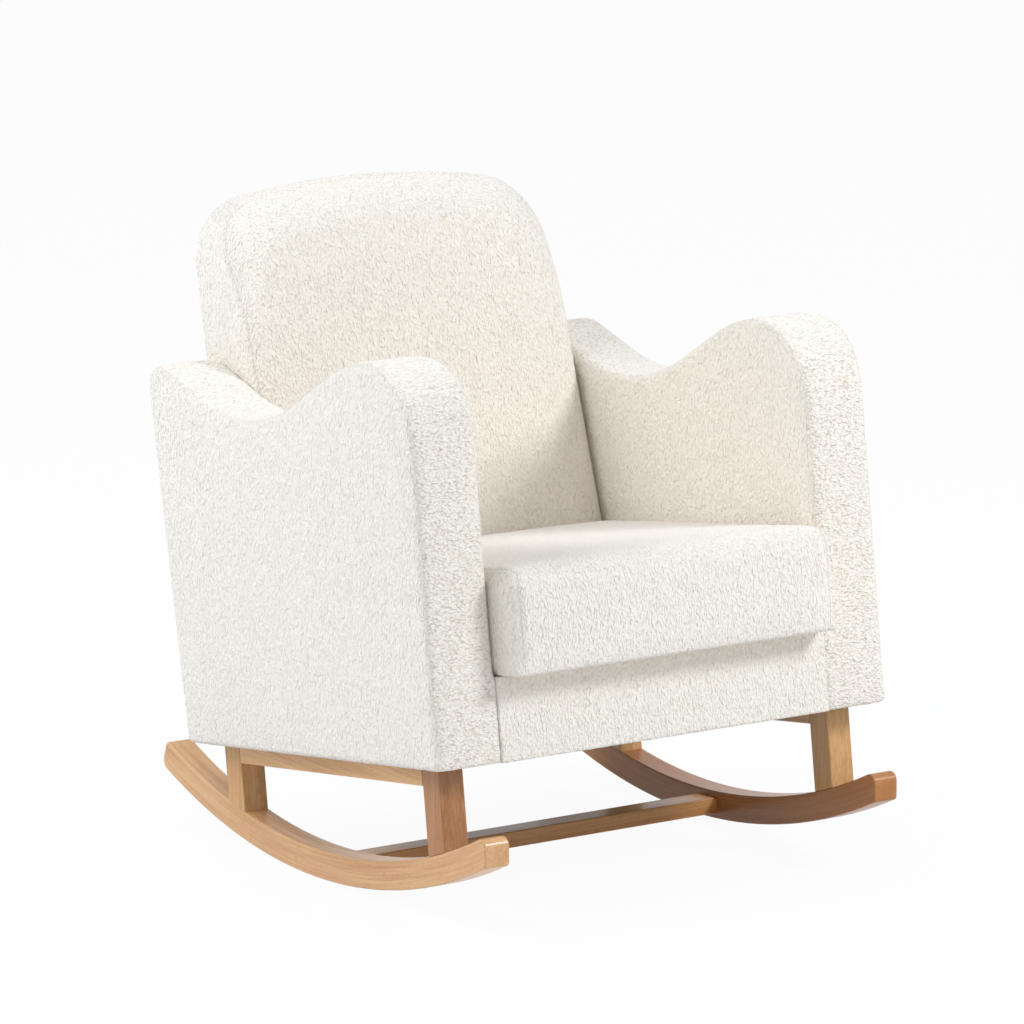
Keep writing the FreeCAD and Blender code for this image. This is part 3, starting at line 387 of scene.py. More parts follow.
def rounded_loop(corners, radii, per_arc=24):
    """A closed outline with rounded corners, and where in it the middle of each corner is."""
    points, middles = [], []
    corners = [np.array(corner, float) for corner in corners]
    for i, (corner, radius) in enumerate(zip(corners, radii)):
        before = unit(corners[i - 1] - corner)
        after = unit(corners[(i + 1) % len(corners)] - corner)
        half = math.acos(np.clip(before @ after, -1, 1)) / 2
        centre = corner + unit(before + after) * radius / math.sin(half)
        reach = radius / math.tan(half)
        first, last = corner + before * reach - centre, corner + after * reach - centre
        turn = math.pi - 2 * half
        middles.append(len(points) + per_arc // 2)
        for step in np.linspace(0, 1, per_arc + 1):
            arm = first * math.sin((1 - step) * turn) + last * math.sin(step * turn)
            points.append(centre + arm / math.sin(turn))
    return np.array(points), middles


def inset_loop(loop, distance):
    """A closed outline, run anticlockwise, moved in by a small distance."""
    along = np.roll(loop, -1, 0) - np.roll(loop, 1, 0)
    along /= np.linalg.norm(along, axis=1)[:, None]
    return loop + np.stack([-along[:, 1], along[:, 0]], -1) * distance


def spaced(points, count):
    """Points at equal steps along a line of points."""
    lengths = np.concatenate([[0], np.cumsum(np.linalg.norm(np.diff(points, axis=0), axis=1))])
    stations = np.linspace(0, lengths[-1], count + 1)
    return np.stack([np.interp(stations, lengths, points[:, k]) for k in range(points.shape[1])], -1)


def patch(loop, turns, columns, rows):
    """A grid that fills a closed outline, with its four corners at the turns."""
    sides = []
    for start, end in zip(turns, turns[1:] + turns[:1]):
        count = (end - start) % len(loop)
        sides.append(loop[(start + np.arange(count + 1)) % len(loop)])
    low, high = spaced(sides[0], columns)[None], spaced(sides[2][::-1], columns)[None]
    right, left = spaced(sides[1], rows)[:, None], spaced(sides[3][::-1], rows)[:, None]
    u = np.linspace(0, 1, columns + 1)[None, :, None]
    v = np.linspace(0, 1, rows + 1)[:, None, None]
    ruled = (1 - v) * low + v * high + (1 - u) * left + u * right
    first, last = [(1 - u) * side[:, :1] + u * side[:, -1:] for side in (low, high)]
    return ruled - ((1 - v) * first + v * last)


def border(grid):
    """The outer entries of a grid, once round."""
    return np.concatenate([grid[0, :-1], grid[:-1, -1], grid[-1, :0:-1], grid[:0:-1, 0]])


def ruled_rows(near, far, count):
    """Rows of a straight strip between the borders of two grids."""
    return [border(near) * (1 - t) + border(far) * t for t in np.linspace(0, 1, count + 1)[1:-1]]


def grid_faces(grid):
    """Numbers of a grid's points as a grid, and its faces."""
    index = np.arange(grid.shape[0] * grid.shape[1]).reshape(grid.shape[:2])
    quads = [index[:-1, :-1], index[:-1, 1:], index[1:, 1:], index[1:, :-1]]
    return index, np.stack(quads, -1).reshape(-1, 4)


def closed_piece(name, points, faces, finishes):
    """An object of seat frame points with its faces turned out."""
    mesh = bpy.data.meshes.new(name)
    mesh.from_pydata(to_shared(points).tolist(), [], np.concatenate(faces).tolist())
    for material in finishes:
        mesh.materials.append(material)
    form = bmesh.new()
    form.from_mesh(mesh)
    bmesh.ops.recalc_face_normals(form, faces=form.faces)
    form.to_mesh(mesh)
    form.free()
    piece = bpy.data.objects.new(name, mesh)
    scene.collection.objects.link(piece)
    return piece


def sewn_cover(name, near, far, strip, panel_finish, strip_finish):
    """A cover of two panels and a strip. Its seams are the borders of the panels."""
    index, quads = grid_faces(near)
    count = index.size
    rim = border(index)
    between = [2 * count + k * len(rim) + np.arange(len(rim)) for k in range(len(strip))]
    rings = [rim] + between + [rim + count]
    faces = [quads, quads[:, ::-1] + count]
    for one, other in zip(rings, rings[1:]):
        faces.append(np.stack([one, other, np.roll(other, -1), np.roll(one, -1)], -1))
    points = np.concatenate([near.reshape(-1, 3), far.reshape(-1, 3), np.reshape(strip, (-1, 3))])
    piece = closed_piece(name, points, faces, (panel_finish, strip_finish))
    on_strip = np.arange(len(piece.data.polygons)) >= 2 * len(quads)
    piece.data.polygons.foreach_set("material_index", on_strip.astype(np.int32))
    return {"piece": piece, "points": points, "seams": (rim, rim + count), "count": count}


def read_points(mesh):
    found = np.empty(3 * len(mesh.vertices))
    mesh.vertices.foreach_get("co", found)
    return found.reshape(-1, 3)


covers = []


def keep(cover, near, far, strip, crease_and_shade, under=None):
    """Notes how far each part of a cover may swell, in millimetres, and how much its seams are pulled
    in and darkened with painted shade. `under` is a height in the seat frame and how far the cover may swell below it.
    `soft` says how much a seam may be eased."""
    count = cover["count"]
    swell = np.full(len(cover["points"]), float(strip))
    swell[:count] = near
    swell[count:2 * count] = far
    if under is not None:
        height, less = under
        swell[cover["points"][:, 2] < height] = less
    cover["swell"] = swell / 1000
    cover["soft"] = np.ones(len(swell))
    cover["crease_and_shade"] = np.full(len(swell), float(crease_and_shade))
    cover["stitched"] = []  # numbers of the seams that show stitches
    covers.append(cover)
    print(cover["piece"].name, len(cover["points"]), "points")


# %% [markdown]
# ## Arms
#
# The arm is a wave: a round front, a crest, a long fall to a valley and a rise to the back. On the real chair two
# cut panels close its sides and one strip runs up the front and over the top. The foam bows the outer side out a
# little, and the inner side stays flat where the cushion and the back press on it.


# %% Arms
ARM_CREST = 516.5  # height of its top
ARM_KNEE, ARM_VALLEY = 156.0, 406.0  # y where the top starts to fall and where it rises again
FRONT_FALL, REAR_RISE = math.radians(22.6), math.radians(24.8)
ARM_RADII = [4, 4, 34, 290, 220, 102]  # two at the foot, then rear top, valley, knee and front
INNER_GAP = 0.3  # of the flat inner side behind its finished face
TIGHT = 0.05  # softness of a seam that another piece stands against
EDGE = 20.0  # how wide the cover counts as near such a seam
BESIDE_PANEL = 112.0  # height up to which the front panel stands beside the arm
LOOSE_FROM, LOOSE_OVER = 270.0, 140.0  # height from which the rear edge loosens, and over what rise
NEAR_FOOT = 14.0  # height under which a cover is near the body's underside


def arm_loop():
    """Side view of the arm, anticlockwise from the front foot, and the middles of its corners."""
    rise, lean = math.tan(REAR_RISE), math.tan(REAR_LEAN)
    low = ARM_CREST - (ARM_VALLEY - ARM_KNEE) * math.tan(FRONT_FALL)
    rear_top = (low + (BODY_DEPTH - ARM_VALLEY) * rise) / (1 - lean * rise)
    foot = -START  # so that the finished underside is level with the boards
    corners = [
        (0, foot), (BODY_DEPTH, foot), (BODY_DEPTH + rear_top * lean, rear_top),
        (ARM_VALLEY, low), (ARM_KNEE, ARM_CREST), (0, ARM_CREST),
    ]
    return rounded_loop(corners, ARM_RADII)


def at_x(flat, x):
    """A grid of the side view, as seat frame points at one x."""
    return np.concatenate([np.full(flat.shape[:-1] + (1,), x), flat], -1)


loop, middles = arm_loop()
side_grid = patch(inset_loop(loop, START), [middles[i] for i in (0, 1, 2, 5)], columns=96, rows=74)
for label, side in (("left", -1), ("right", 1)):
    inner = at_x(side_grid, side * (ARM_IN + INNER_GAP))
    outer = at_x(side_grid, side * (ARM_OUT - START))
    rows = ruled_rows(inner, outer, count=14)
    arm = sewn_cover("arm_cover_" + label, inner, outer, rows, wool_upright, wool_across)
    swell = {"near": INNER_GAP - 0.1, "far": START + 4.0, "strip": START + 2.0, "under": (12.0, 0.1)}
    keep(arm, crease_and_shade=0.3, **swell)
    x, y, z = arm["points"].T
    inside = np.abs(x) < ARM_IN + EDGE
    arm["soft"][inside & (y < EDGE) & (z < BESIDE_PANEL)] = TIGHT
    by_back = inside & (y > BODY_DEPTH - EDGE + z * math.tan(REAR_LEAN))
    arm["soft"][by_back] = np.clip((z[by_back] - LOOSE_FROM) / LOOSE_OVER, TIGHT, 1)
    arm["soft"][z < NEAR_FOOT] *= 0.4
    arm.update(body="chair", stands_for=["arm_pad_" + label], fill=0.9, ease=6)

# %% [markdown]
# ## Back
#
# The back is a loaf-shaped wedge: a raked front panel, a gusset round it and the outside back behind. The front panel
# rolls over to its seam, tightly at the sides and in a wide curve over the top, where the seam lies well back. So the
# depth of each point follows from its distance to the seam.

# %% Back
BACK_HALF = 254.5
SIDE_GAP, RIM_COVER = 0.3, 1.1  # between it and the arms, and of the gusset past the outside back's rim
FACE_Y, FACE_Z = 457.0, 128.0  # foot of the face
FACE_RAKE, SEAM_RAKE = math.radians(9.4), math.radians(10.8)
FACE_TOP, BACK_TOP = 612.0, 737.0  # of the front panel from its foot, and of the back behind
REAR_FOOT, REAR_PANEL = 115.0, -5.0  # foot and depth of the panel that the outside back covers
ARCH, CORNER = 1130.0, 88.0  # radii of the top and its corners
BACK_GRID = 78, 92  # faces across and up
SEAM_SETBACK = 13.0  # of the seam behind the face, at the foot
SIDE_ROLL, TOP_ROLL = 20.0, 60.0  # width of the rounded edge at the sides and over the top
ROLL_BELOW, ROLL_OVER = 90.0, 160.0  # where the one turns into the other, from the corner's centre
EDGE_SHARE, FALL_SHARE = 0.85, 0.15  # of the depth: by the rounded edge, and by a gentle fall to it
FALL_WIDTH = 88.0
TOP_CROWN = 0.1  # rise of the cover towards the seam over the top
SEAM_FROM, SEAM_OVER = 190.0, 35.0  # x from which the front seam shows, and over what width


def loaf_loop(half, top, foot):
    """Front view of the back, anticlockwise from the lower left, the middles of its corners and the
    height of the upper corners' centres."""
    corner_x = half - CORNER
    corner_z = top - ARCH + math.sqrt((ARCH - CORNER) ** 2 - corner_x ** 2)
    turn = math.atan2(corner_z - top + ARCH, corner_x)
    right = [(half, foot)]
    for a in np.linspace(0, turn, 25):
        right.append((corner_x + CORNER * math.cos(a), corner_z + CORNER * math.sin(a)))
    over = np.linspace(turn, math.pi - turn, 41)[1:-1]
    arch = [(ARCH * math.cos(a), top - ARCH + ARCH * math.sin(a)) for a in over]
    left = [(-x, z) for x, z in right[::-1]]
    points = np.array(right + arch + left)
    count = len(points)
    return points, [count - 1, 0, 13, count - 14], corner_z


def nearest_border(grid):
    """Distance of each point of a grid from its border."""
    edge = border(grid)
    flat = grid.reshape(-1, grid.shape[-1])
    found = [np.min(np.linalg.norm(edge - point, axis=1)) for point in flat]
    return np.array(found).reshape(grid.shape[:-1])


def at_depth(flat, depth):
    """A grid of the front view, as points at one depth."""
    return np.stack([flat[..., 0], np.full(flat.shape[:2], depth), flat[..., 1]], -1)


loop, turns, corner_z = loaf_loop(BACK_HALF - SIDE_GAP, FACE_TOP - START, START)
face = patch(loop, turns, *BACK_GRID)
inset = nearest_border(face)
height = face[..., 1]
over = np.clip((height - corner_z + ROLL_BELOW) / ROLL_OVER, 0, 1)
over = over * over * (3 - 2 * over)  # 0 at the sides, 1 at the top
width = SIDE_ROLL + (TOP_ROLL - SIDE_ROLL) * over
side_depth = SEAM_SETBACK + height * (math.tan(SEAM_RAKE) - math.tan(FACE_RAKE))
depth = side_depth + (TOP_ROLL - side_depth) * over
rolled = 1 - np.clip(inset / width, 0, 1)
edge = EDGE_SHARE * (1 - np.sqrt(1 - rolled ** 2))
fall = FALL_SHARE * np.clip(1 - inset / FALL_WIDTH, 0, 1)
behind = depth * (edge + fall)
lifted = height + over * behind * (math.tan(FACE_RAKE) + TOP_CROWN)
front = leaned(np.stack([face[..., 0], behind, lifted], -1), FACE_RAKE, FACE_Y + START, FACE_Z)

loop, turns, _ = loaf_loop(BACK_HALF + RIM_COVER, BACK_TOP + 0.2, REAR_FOOT)
rear = leaned(at_depth(patch(loop, turns, *BACK_GRID), REAR_PANEL), REAR_LEAN, BODY_DEPTH, 0.0)
rows = ruled_rows(front, rear, count=20)
back = sewn_cover("back_cover", front, rear, rows, wool_upright, wool_upright)
keep(back, near=START + 1.0, far=0.0, strip=START, crease_and_shade=0.4, under=(150.0, 0.5))
front_seam, rear_seam = back["seams"]
back["soft"][rear_seam] = 0.2
# the front seam's groove and its painted shade fade in towards the sides
from_middle = np.abs(border(face)[:, 0])
back["crease_and_shade"][front_seam] *= np.clip((from_middle - SEAM_FROM) / SEAM_OVER, 0, 1)
back.update(body="chair", stands_for=["back_pad"], fill=0.8, ease=2, stitched=[0])

# %% [markdown]
# ## Outside back and front panel
#
# Both are thin boards under a little wadding, with the cloth wrapped over their edges: the outside back closes the
# chair behind, and the front panel stands under the cushion, flush with the arm fronts.

# %% Outside back and front panel
OUTSIDE_DEPTHS = -6.4, -1.6  # of its two faces, from the rear of the body
PANEL_DEPTHS = 11.6, 0.4  # of the front panel's rear and front, from the arm fronts
PANEL_HALF, PANEL_TOP = 256.2, 109.4

loop, turns, _ = loaf_loop(BACK_HALF + 0.2, BACK_TOP - 1.0, 0.3)
flat = patch(loop, turns, columns=78, rows=112)
faces = [leaned(at_depth(flat, depth), REAR_LEAN, BODY_DEPTH, 0.0) for depth in OUTSIDE_DEPTHS]
outside = sewn_cover("outside_back_cover", *faces, [], wool_upright, wool_upright)
keep(outside, near=0.0, far=3.4, strip=0.0, crease_and_shade=0.1)
outside.update(body="chair", stands_for=["outside_back"], fill=0.9, ease=0)

corners = [(-PANEL_HALF, 0.0), (PANEL_HALF, 0.0), (PANEL_HALF, PANEL_TOP), (-PANEL_HALF, PANEL_TOP)]
loop, middles = rounded_loop(corners, [1] * 4)
flat = patch(loop, middles, columns=78, rows=17)
faces = [at_depth(flat, depth) for depth in PANEL_DEPTHS]
rows = ruled_rows(*faces, count=2)
panel = sewn_cover("front_panel_cover", *faces, rows, wool_upright, wool_upright)
keep(panel, near=0.0, far=1.4, strip=0.0, crease_and_shade=0.3)
panel["soft"][:] = 0.3
panel.update(body="chair", stands_for=["front_panel_pad"], fill=0.9, ease=0)

# %% [markdown]
# ## Seat cushion
#
# The loose cushion is a block of foam in a cover with two end panels and one long cloth wrapped over the top and round
# the full nose. It sticks out in front of the arms, is crowned in the middle and leans against the back. A lining
# closes it underneath.


# %% Seat cushion
CUSHION_HALF, CUSHION_FRONT = 252.5, -45.0
NOSE_TOP, TAIL_TOP = 247.8, 240.8
BACK_GAP = 2.4  # between the tail and the face of the back
CUSHION_RADII = [5, 11, 18, 22]  # lower front, lower rear, upper rear and nose
MIDDLE_CROWN, END_CROWN = 10.0, 2.5  # rise of the top
NOSE_BELLY = 4.0
END_BULGE, END_ROLL = 12.0, 25.0  # of an end panel past its seam, and the width of its rounded edge
FOOT_BULGE = 14.8  # of its lower edge, which fills the corner by the arm
FOOT_RISE = 14.0  # how high that reaches
TAIL_FROM = 430.0  # y behind which the back leaves little room to swell


def cushion_loop(x):
    """Side view of the cushion at one x, anticlockwise from the lower front."""
    low, nose, tail = UNDER_CUSHION + 0.2, NOSE_TOP - START, TAIL_TOP - START
    front = CUSHION_FRONT + START
    rake = math.tan(FACE_RAKE)
    rear_low, rear_high = [FACE_Y + (z - FACE_Z) * rake - BACK_GAP - START for z in (low, tail)]
    corners = [(front, low), (rear_low, low), (rear_high, tail), (front, nose)]
    points, turns = rounded_loop(corners, CUSHION_RADII)
    middle, half = (front + rear_high) / 2, (rear_high - front) / 2
    along = (points[:, 0] - middle) / half
    top = nose + (tail - nose) * np.clip((along + 1) / 2, 0, 1)
    up = np.clip((points[:, 1] - low) / (top - low), 0, 1)
    crown = MIDDLE_CROWN * (1 - (x / CUSHION_HALF) ** 2) + END_CROWN
    points[:, 1] += crown * up ** 4 * np.clip(1 - along ** 2, 0, 1)
    points[:, 0] -= NOSE_BELLY * np.clip(-along, 0, 1) ** 8 * np.clip(1 - (2 * up - 1) ** 2, 0, 1)
    return points, turns


half = CUSHION_HALF - START
stations = np.linspace(END_BULGE - half, half - END_BULGE, 79)
sections = [at_x(patch(*cushion_loop(x), columns=78, rows=22), x) for x in stations]
rows = [border(section) for section in sections[1:-1]]
rolled = 1 - np.clip(nearest_border(sections[0]) / END_ROLL, 0, 1)
above_foot = np.clip((sections[0][..., 2] - UNDER_CUSHION) / FOOT_RISE, 0, 1)
bulge = FOOT_BULGE + (END_BULGE * np.sqrt(1 - rolled ** 2) - FOOT_BULGE) * above_foot
sections[0][..., 0] -= bulge
sections[-1][..., 0] += bulge
ends = sections[0], sections[-1]
cushion = sewn_cover("seat_cushion_cover", *ends, rows, wool_upright, wool_upright)
swell = {"near": START + 1.6, "far": START + 1.6, "strip": START + 2.5, "under": (UNDER_CUSHION + 9.0, 0.3)}
keep(cushion, crease_and_shade=0.5, **swell)
x, y, z = cushion["points"].T
cushion["soft"][z < UNDER_CUSHION + EDGE] = 0.1
by_back = y > TAIL_FROM
cushion["swell"][by_back] = np.minimum(cushion["swell"][by_back], (START - SIDE_GAP) / 1000)
cushion.update(body="seat_cushion", stands_for=["cushion_cover", "cushion_bottom_panel", "cushion_foam"])
cushion.update(fill=0.7, ease=2, stitched=[0, 1])

# %% [markdown]
# ## Blowing the covers up
#
# Foam pushes its cover out between the seams. A short cloth simulation with an inner pressure and held seams gives the
# same form: the covers swell, and how far each part may go is capped by what lies beside it.


# %% Cloth
CLOTH_STEPS = 20
PRESSURE = 4.0


def blow_up(covers):
    """Swells all covers at once."""
    for cover in covers:
        piece = cover["piece"]
        held = piece.vertex_groups.new(name="held")
        held.add([int(i) for seam in cover["seams"] for i in seam], 1.0, "REPLACE")
        cloth = piece.modifiers.new("cover", "CLOTH")
        cloth.settings.quality = 5
        cloth.settings.mass = 0.3
        cloth.settings.use_pressure = True
        cloth.settings.uniform_pressure_force = PRESSURE
        cloth.settings.vertex_group_mass = "held"
        cloth.settings.effector_weights.gravity = 0.0
        cloth.collision_settings.use_collision = False
        cloth.point_cache.frame_start = 1
        cloth.point_cache.frame_end = CLOTH_STEPS
    for step in range(1, CLOTH_STEPS + 1):
        scene.frame_set(step)
    graph = bpy.context.evaluated_depsgraph_get()
    blown = [read_points(cover["piece"].evaluated_get(graph).data) for cover in covers]
    scene.frame_set(1)
    for cover, after in zip(covers, blown):
        piece = cover["piece"]
        piece.modifiers.clear()
        before = read_points(piece.data)
        moved = after - before
        length = np.linalg.norm(moved, axis=1)
        cap = np.maximum(cover["swell"], 1e-6)
        kept = cap * np.tanh(length / cap) / np.maximum(length, 1e-9)
        piece.data.vertices.foreach_set("co", (before + moved * kept[:, None]).ravel())
        piece.data.update()
        print(piece.name, "swelled by up to", round(float(length.max() * 1000), 1), "mm before the cap")


blow_up(covers)

# %% [markdown]
# ## Seams and loops
#
# The corner along a seam is eased as foam eases it, the seam itself is drawn in, and the yarn's loops roughen the whole
# surface, so that its outline isn't a clean line. The two boards, the outside back and the front panel, aren't eased:
# their edges stay crisp.


# %% Ease, subdivide, roughen
RINGS, FAR = 4, 9.0  # rings of points that are counted round a seam, and what stands for all beyond
EASE_REACH, EASE_STEP = 1.8, 0.6  # in rings, and the share of the way in each turn
LOOP_NOISE = ((150, 0.6), (61, 0.4))  # repeats per metre, and share
LOOP_RELIEF, SEAM_GROOVE = 0.0006, 0.0018  # in metres


def ease_seams(cover, turns):
    """Smooths the points near the seams, and notes the seams in an attribute."""
    mesh = cover["piece"].data
    edges = np.empty(2 * len(mesh.edges), np.int32)
    mesh.edges.foreach_get("vertices", edges)
    edges = edges.reshape(-1, 2)
    one, other = np.concatenate([edges, edges[:, ::-1]]).T
    count = len(mesh.vertices)
    ring = np.full(count, FAR)
    ring[np.concatenate(cover["seams"])] = 0.0
    for _ in range(RINGS):
        np.minimum.at(ring, one, ring[other] + 1)
    weight = (np.exp(-((ring / EASE_REACH) ** 2)) * cover["soft"])[:, None]
    shared = np.bincount(one, minlength=count)[:, None]
    points = read_points(mesh)
    for _ in range(turns):
        total = np.stack([np.bincount(one, points[other, k], count) for k in range(3)], -1)
        points += weight * (total / shared - points) * EASE_STEP
    mesh.vertices.foreach_set("co", points.ravel())
    # the seam value sets both the groove that roughen cuts and the painted shade of the wool finish
    seam = mesh.attributes.new("seam", "FLOAT", "POINT")
    groove_and_shade = (ring == 0) * cover["soft"] * cover["crease_and_shade"]
    seam.data.foreach_set("value", groove_and_shade.astype(np.float32))
    mesh.update()


def subdivide(piece, rounded):
    """Halves the faces, and rounds what they form unless it is a board."""
    bend = piece.modifiers.new("bend", "SUBSURF")
    bend.subdivision_type = "CATMULL_CLARK" if rounded else "SIMPLE"
    bend.levels = bend.render_levels = 1
    graph = bpy.context.evaluated_depsgraph_get()
    finer = bpy.data.meshes.new_from_object(piece.evaluated_get(graph))
    piece.modifiers.clear()
    piece.data = finer


def roughen(piece, rounded):
    """Adds the loops of the yarn as small swells, and the dip along each seam. The edges of a board
    stay crisp."""
    mesh = piece.data
    points = read_points(mesh)
    normals = np.empty(3 * len(mesh.vertices))
    mesh.vertex_normals.foreach_get("vector", normals)
    seam = np.empty(len(mesh.vertices), np.float32)
    mesh.attributes["seam"].data.foreach_get("value", seam)
    swell = [sum(noise.noise(Vector(p) * often) * share for often, share in LOOP_NOISE) for p in points]
    depth = np.array(swell) * LOOP_RELIEF * (1 - seam) - SEAM_GROOVE * seam ** 1.5
    mesh.vertices.foreach_set("co", (points + normals.reshape(-1, 3) * depth[:, None]).ravel())
    part = np.empty(len(mesh.polygons), np.int32)
    mesh.polygons.foreach_get("material_index", part)
    mesh.polygons.foreach_set("use_smooth", (part == 0) | rounded)
    mesh.update()


for cover in covers:
    piece, rounded = cover["piece"], cover["ease"] > 0
    ease_seams(cover, cover["ease"])
    subdivide(piece, rounded)
    roughen(piece, rounded)
    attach(piece, cover["body"])
    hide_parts(*cover["stands_for"])
    print(piece.name, len(piece.data.polygons), "faces")

# %% [markdown]
# ## Deck and dust cloth
#
# Under the cushion lies a felt over the springs, and a thin black cloth is pulled tight under the whole body. The felt
# dips a little between the springs; the cloth sags by a few millimetres between the arms.


# %% Deck and dust cloth
SPRING_SPACING, DECK_DIP = 90.0, 0.8
DUST_SAG, SAG_REACH = 4.0, 300.0  # of the dust cloth, and how far from its middle


def thin_piece(name, grid, thickness, material):
    """A closed piece of cloth of that thickness under a grid of seat frame points."""
    index, quads = grid_faces(grid)
    count = index.size
    rim = border(index)
    hem = np.stack([rim, np.roll(rim, -1), np.roll(rim, -1) + count, rim + count], -1)
    top = grid.reshape(-1, 3)
    points = np.concatenate([top, top - [0, 0, thickness]])
    piece = closed_piece(name, points, [quads, quads[:, ::-1] + count, hem], [material])
    polygons = piece.data.polygons
    polygons.foreach_set("use_smooth", np.ones(len(polygons), bool))
    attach(piece, "chair")
    print(name, len(polygons), "faces")
    return piece


def flat_grid(width, front, rear, z, step):
    """A level grid across the chair, with cells of about that step."""
    x = np.linspace(-width / 2, width / 2, int(width / step) + 1)
    y = np.linspace(front, rear, int((rear - front) / step) + 1)
    grid = np.stack(np.meshgrid(x, y), -1)
    return np.concatenate([grid, np.full(grid.shape[:2] + (1,), z)], -1)


deck_grid = flat_grid(width=508.0, front=13.0, rear=560.0, z=UNDER_CUSHION - 0.2, step=9.0)
between_springs = np.cos(deck_grid[..., 0] * 2 * math.pi / SPRING_SPACING)
deck_grid[..., 2] -= DECK_DIP * (1 - between_springs)
deck = thin_piece("deck_felt", deck_grid, thickness=9.0, material=felt)
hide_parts("seat_deck")

cloth_grid = flat_grid(width=664.0, front=22.0, rear=607.0, z=-0.1, step=11.0)
across = np.clip(1 - (cloth_grid[..., 0] / ARM_IN) ** 2, 0, 1)
along = np.clip(1 - ((cloth_grid[..., 1] - BODY_DEPTH / 2) / SAG_REACH) ** 2, 0, 1)
cloth_grid[..., 2] -= DUST_SAG * across * along
dust = thin_piece("dust_cloth_sheet", cloth_grid, thickness=0.7, material=dust_cloth)
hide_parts("dust_cover")

# %% [markdown]
# ## Stitches and zip
#
# A row of short stitches lies in the front seam of the back and in both seams of the cushion, and the zip in the
# cushion's tail has nylon teeth. Both repeat along a line, so one Geometry Nodes tree makes them: it turns the line
# into a curve, sets points along it at a spacing and stands a small rounded bar on each, turned to the line.


# %% Repeats along a line
def row_tree():
    """The tree that sets bars along a line, with their spacing, size and finish as inputs."""
    tree = bpy.data.node_groups.new("row_along_line", "GeometryNodeTree")
    face = tree.interface
    face.new_socket("Geometry", in_out="INPUT", socket_type="NodeSocketGeometry")
    for label in ("Spacing", "Length", "Width", "Height"):
        face.new_socket(label, in_out="INPUT", socket_type="NodeSocketFloat")
    face.new_socket("Material", in_out="INPUT", socket_type="NodeSocketMaterial")
    face.new_socket("Geometry", in_out="OUTPUT", socket_type="NodeSocketGeometry")
    make, link = tree.nodes.new, tree.links.new
    given, result = make("NodeGroupInput"), make("NodeGroupOutput")
    curve, points = make("GeometryNodeMeshToCurve"), make("GeometryNodeCurveToPoints")
    points.mode = "LENGTH"
    bar = make("GeometryNodeMeshIcoSphere")
    bar.inputs["Radius"].default_value = 0.5
    bar.inputs["Subdivisions"].default_value = 1
    size = make("ShaderNodeCombineXYZ")
    stand = make("GeometryNodeInstanceOnPoints")
    real, paint = make("GeometryNodeRealizeInstances"), make("GeometryNodeSetMaterial")
    link(given.outputs["Geometry"], curve.inputs["Mesh"])
    link(curve.outputs["Curve"], points.inputs["Curve"])
    link(given.outputs["Spacing"], points.inputs["Length"])
    link(points.outputs["Points"], stand.inputs["Points"])
    link(points.outputs["Rotation"], stand.inputs["Rotation"])
    link(bar.outputs["Mesh"], stand.inputs["Instance"])
    link(given.outputs["Width"], size.inputs[0])
    link(given.outputs["Height"], size.inputs[1])
    link(given.outputs["Length"], size.inputs[2])
    link(size.outputs[0], stand.inputs["Scale"])
    link(stand.outputs["Instances"], real.inputs["Geometry"])
    link(real.outputs["Geometry"], paint.inputs["Geometry"])
    link(given.outputs["Material"], paint.inputs["Material"])
    link(paint.outputs["Geometry"], result.inputs["Geometry"])
    return tree


ROW = row_tree()
ROW_INPUTS = {item.name: item.identifier for item in ROW.interface.items_tree if item.in_out == "INPUT"}


def row_along(name, lines, body, values):
    """Small bars along lines of points in the shared frame, as one plain mesh."""
    starts = np.cumsum([0] + [len(line) for line in lines])
    edges = []
    for start, line in zip(starts, lines):
        edges += [(start + i, start + i + 1) for i in range(len(line) - 1)]
    mesh = bpy.data.meshes.new(name)
    mesh.from_pydata(np.concatenate(lines).tolist(), edges, [])
    piece = bpy.data.objects.new(name, mesh)
    scene.collection.objects.link(piece)
    row = piece.modifiers.new("row", "NODES")
    row.node_group = ROW
    for label, value in values.items():
        row[ROW_INPUTS[label]] = value
    graph = bpy.context.evaluated_depsgraph_get()
    made = bpy.data.meshes.new_from_object(piece.evaluated_get(graph))
    piece.modifiers.clear()
    piece.data = made
    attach(piece, body)
    print(name, len(made.polygons), "faces")


STITCH = {"Spacing": 0.0045, "Length": 0.0032, "Width": 0.0009, "Height": 0.0009, "Material": thread}
TOOTH = {"Spacing": 0.0022, "Length": 0.0013, "Width": 0.0014, "Height": 0.0052, "Material": nylon}
ZIP_HALF, ZIP_UP, ZIP_POINTS = 184.0, 47.9, 93  # half its length, and how far up the tail it lies

for cover in covers:
    if cover["stitched"]:
        points = read_points(cover["piece"].data)  # the finer mesh starts with the points of the cover
        lines = []
        for seam in [cover["seams"][i] for i in cover["stitched"]]:
            high = [i for i in np.append(seam, seam[0]) if cover["points"][i, 2] > NEAR_FOOT]
            lines.append(points[high])
        label = cover["piece"].name.replace("cover", "stitches")
        row_along(label, lines, cover["body"], STITCH)

across = np.linspace(-ZIP_HALF, ZIP_HALF, ZIP_POINTS)
tooth_line = np.stack([across, np.full(ZIP_POINTS, -BACK_GAP), np.full(ZIP_POINTS, ZIP_UP)], -1)
tooth_line = to_shared(leaned(tooth_line, FACE_RAKE, FACE_Y, FACE_Z))
row_along("zip_teeth", [tooth_line], "seat_cushion", TOOTH)

# %% [markdown]
# ## Stage, light and camera
#
# A white room gives a soft light from all round. A key light from the right and the front is high enough to throw the
# right arm's shadow on the back, and a second one, behind on the left, lights the side, the tops and the inside of the
# far arm. The floor shows nearly white and keeps a faint shadow. The camera stands where the photo was taken from, far
# off with a long lens.

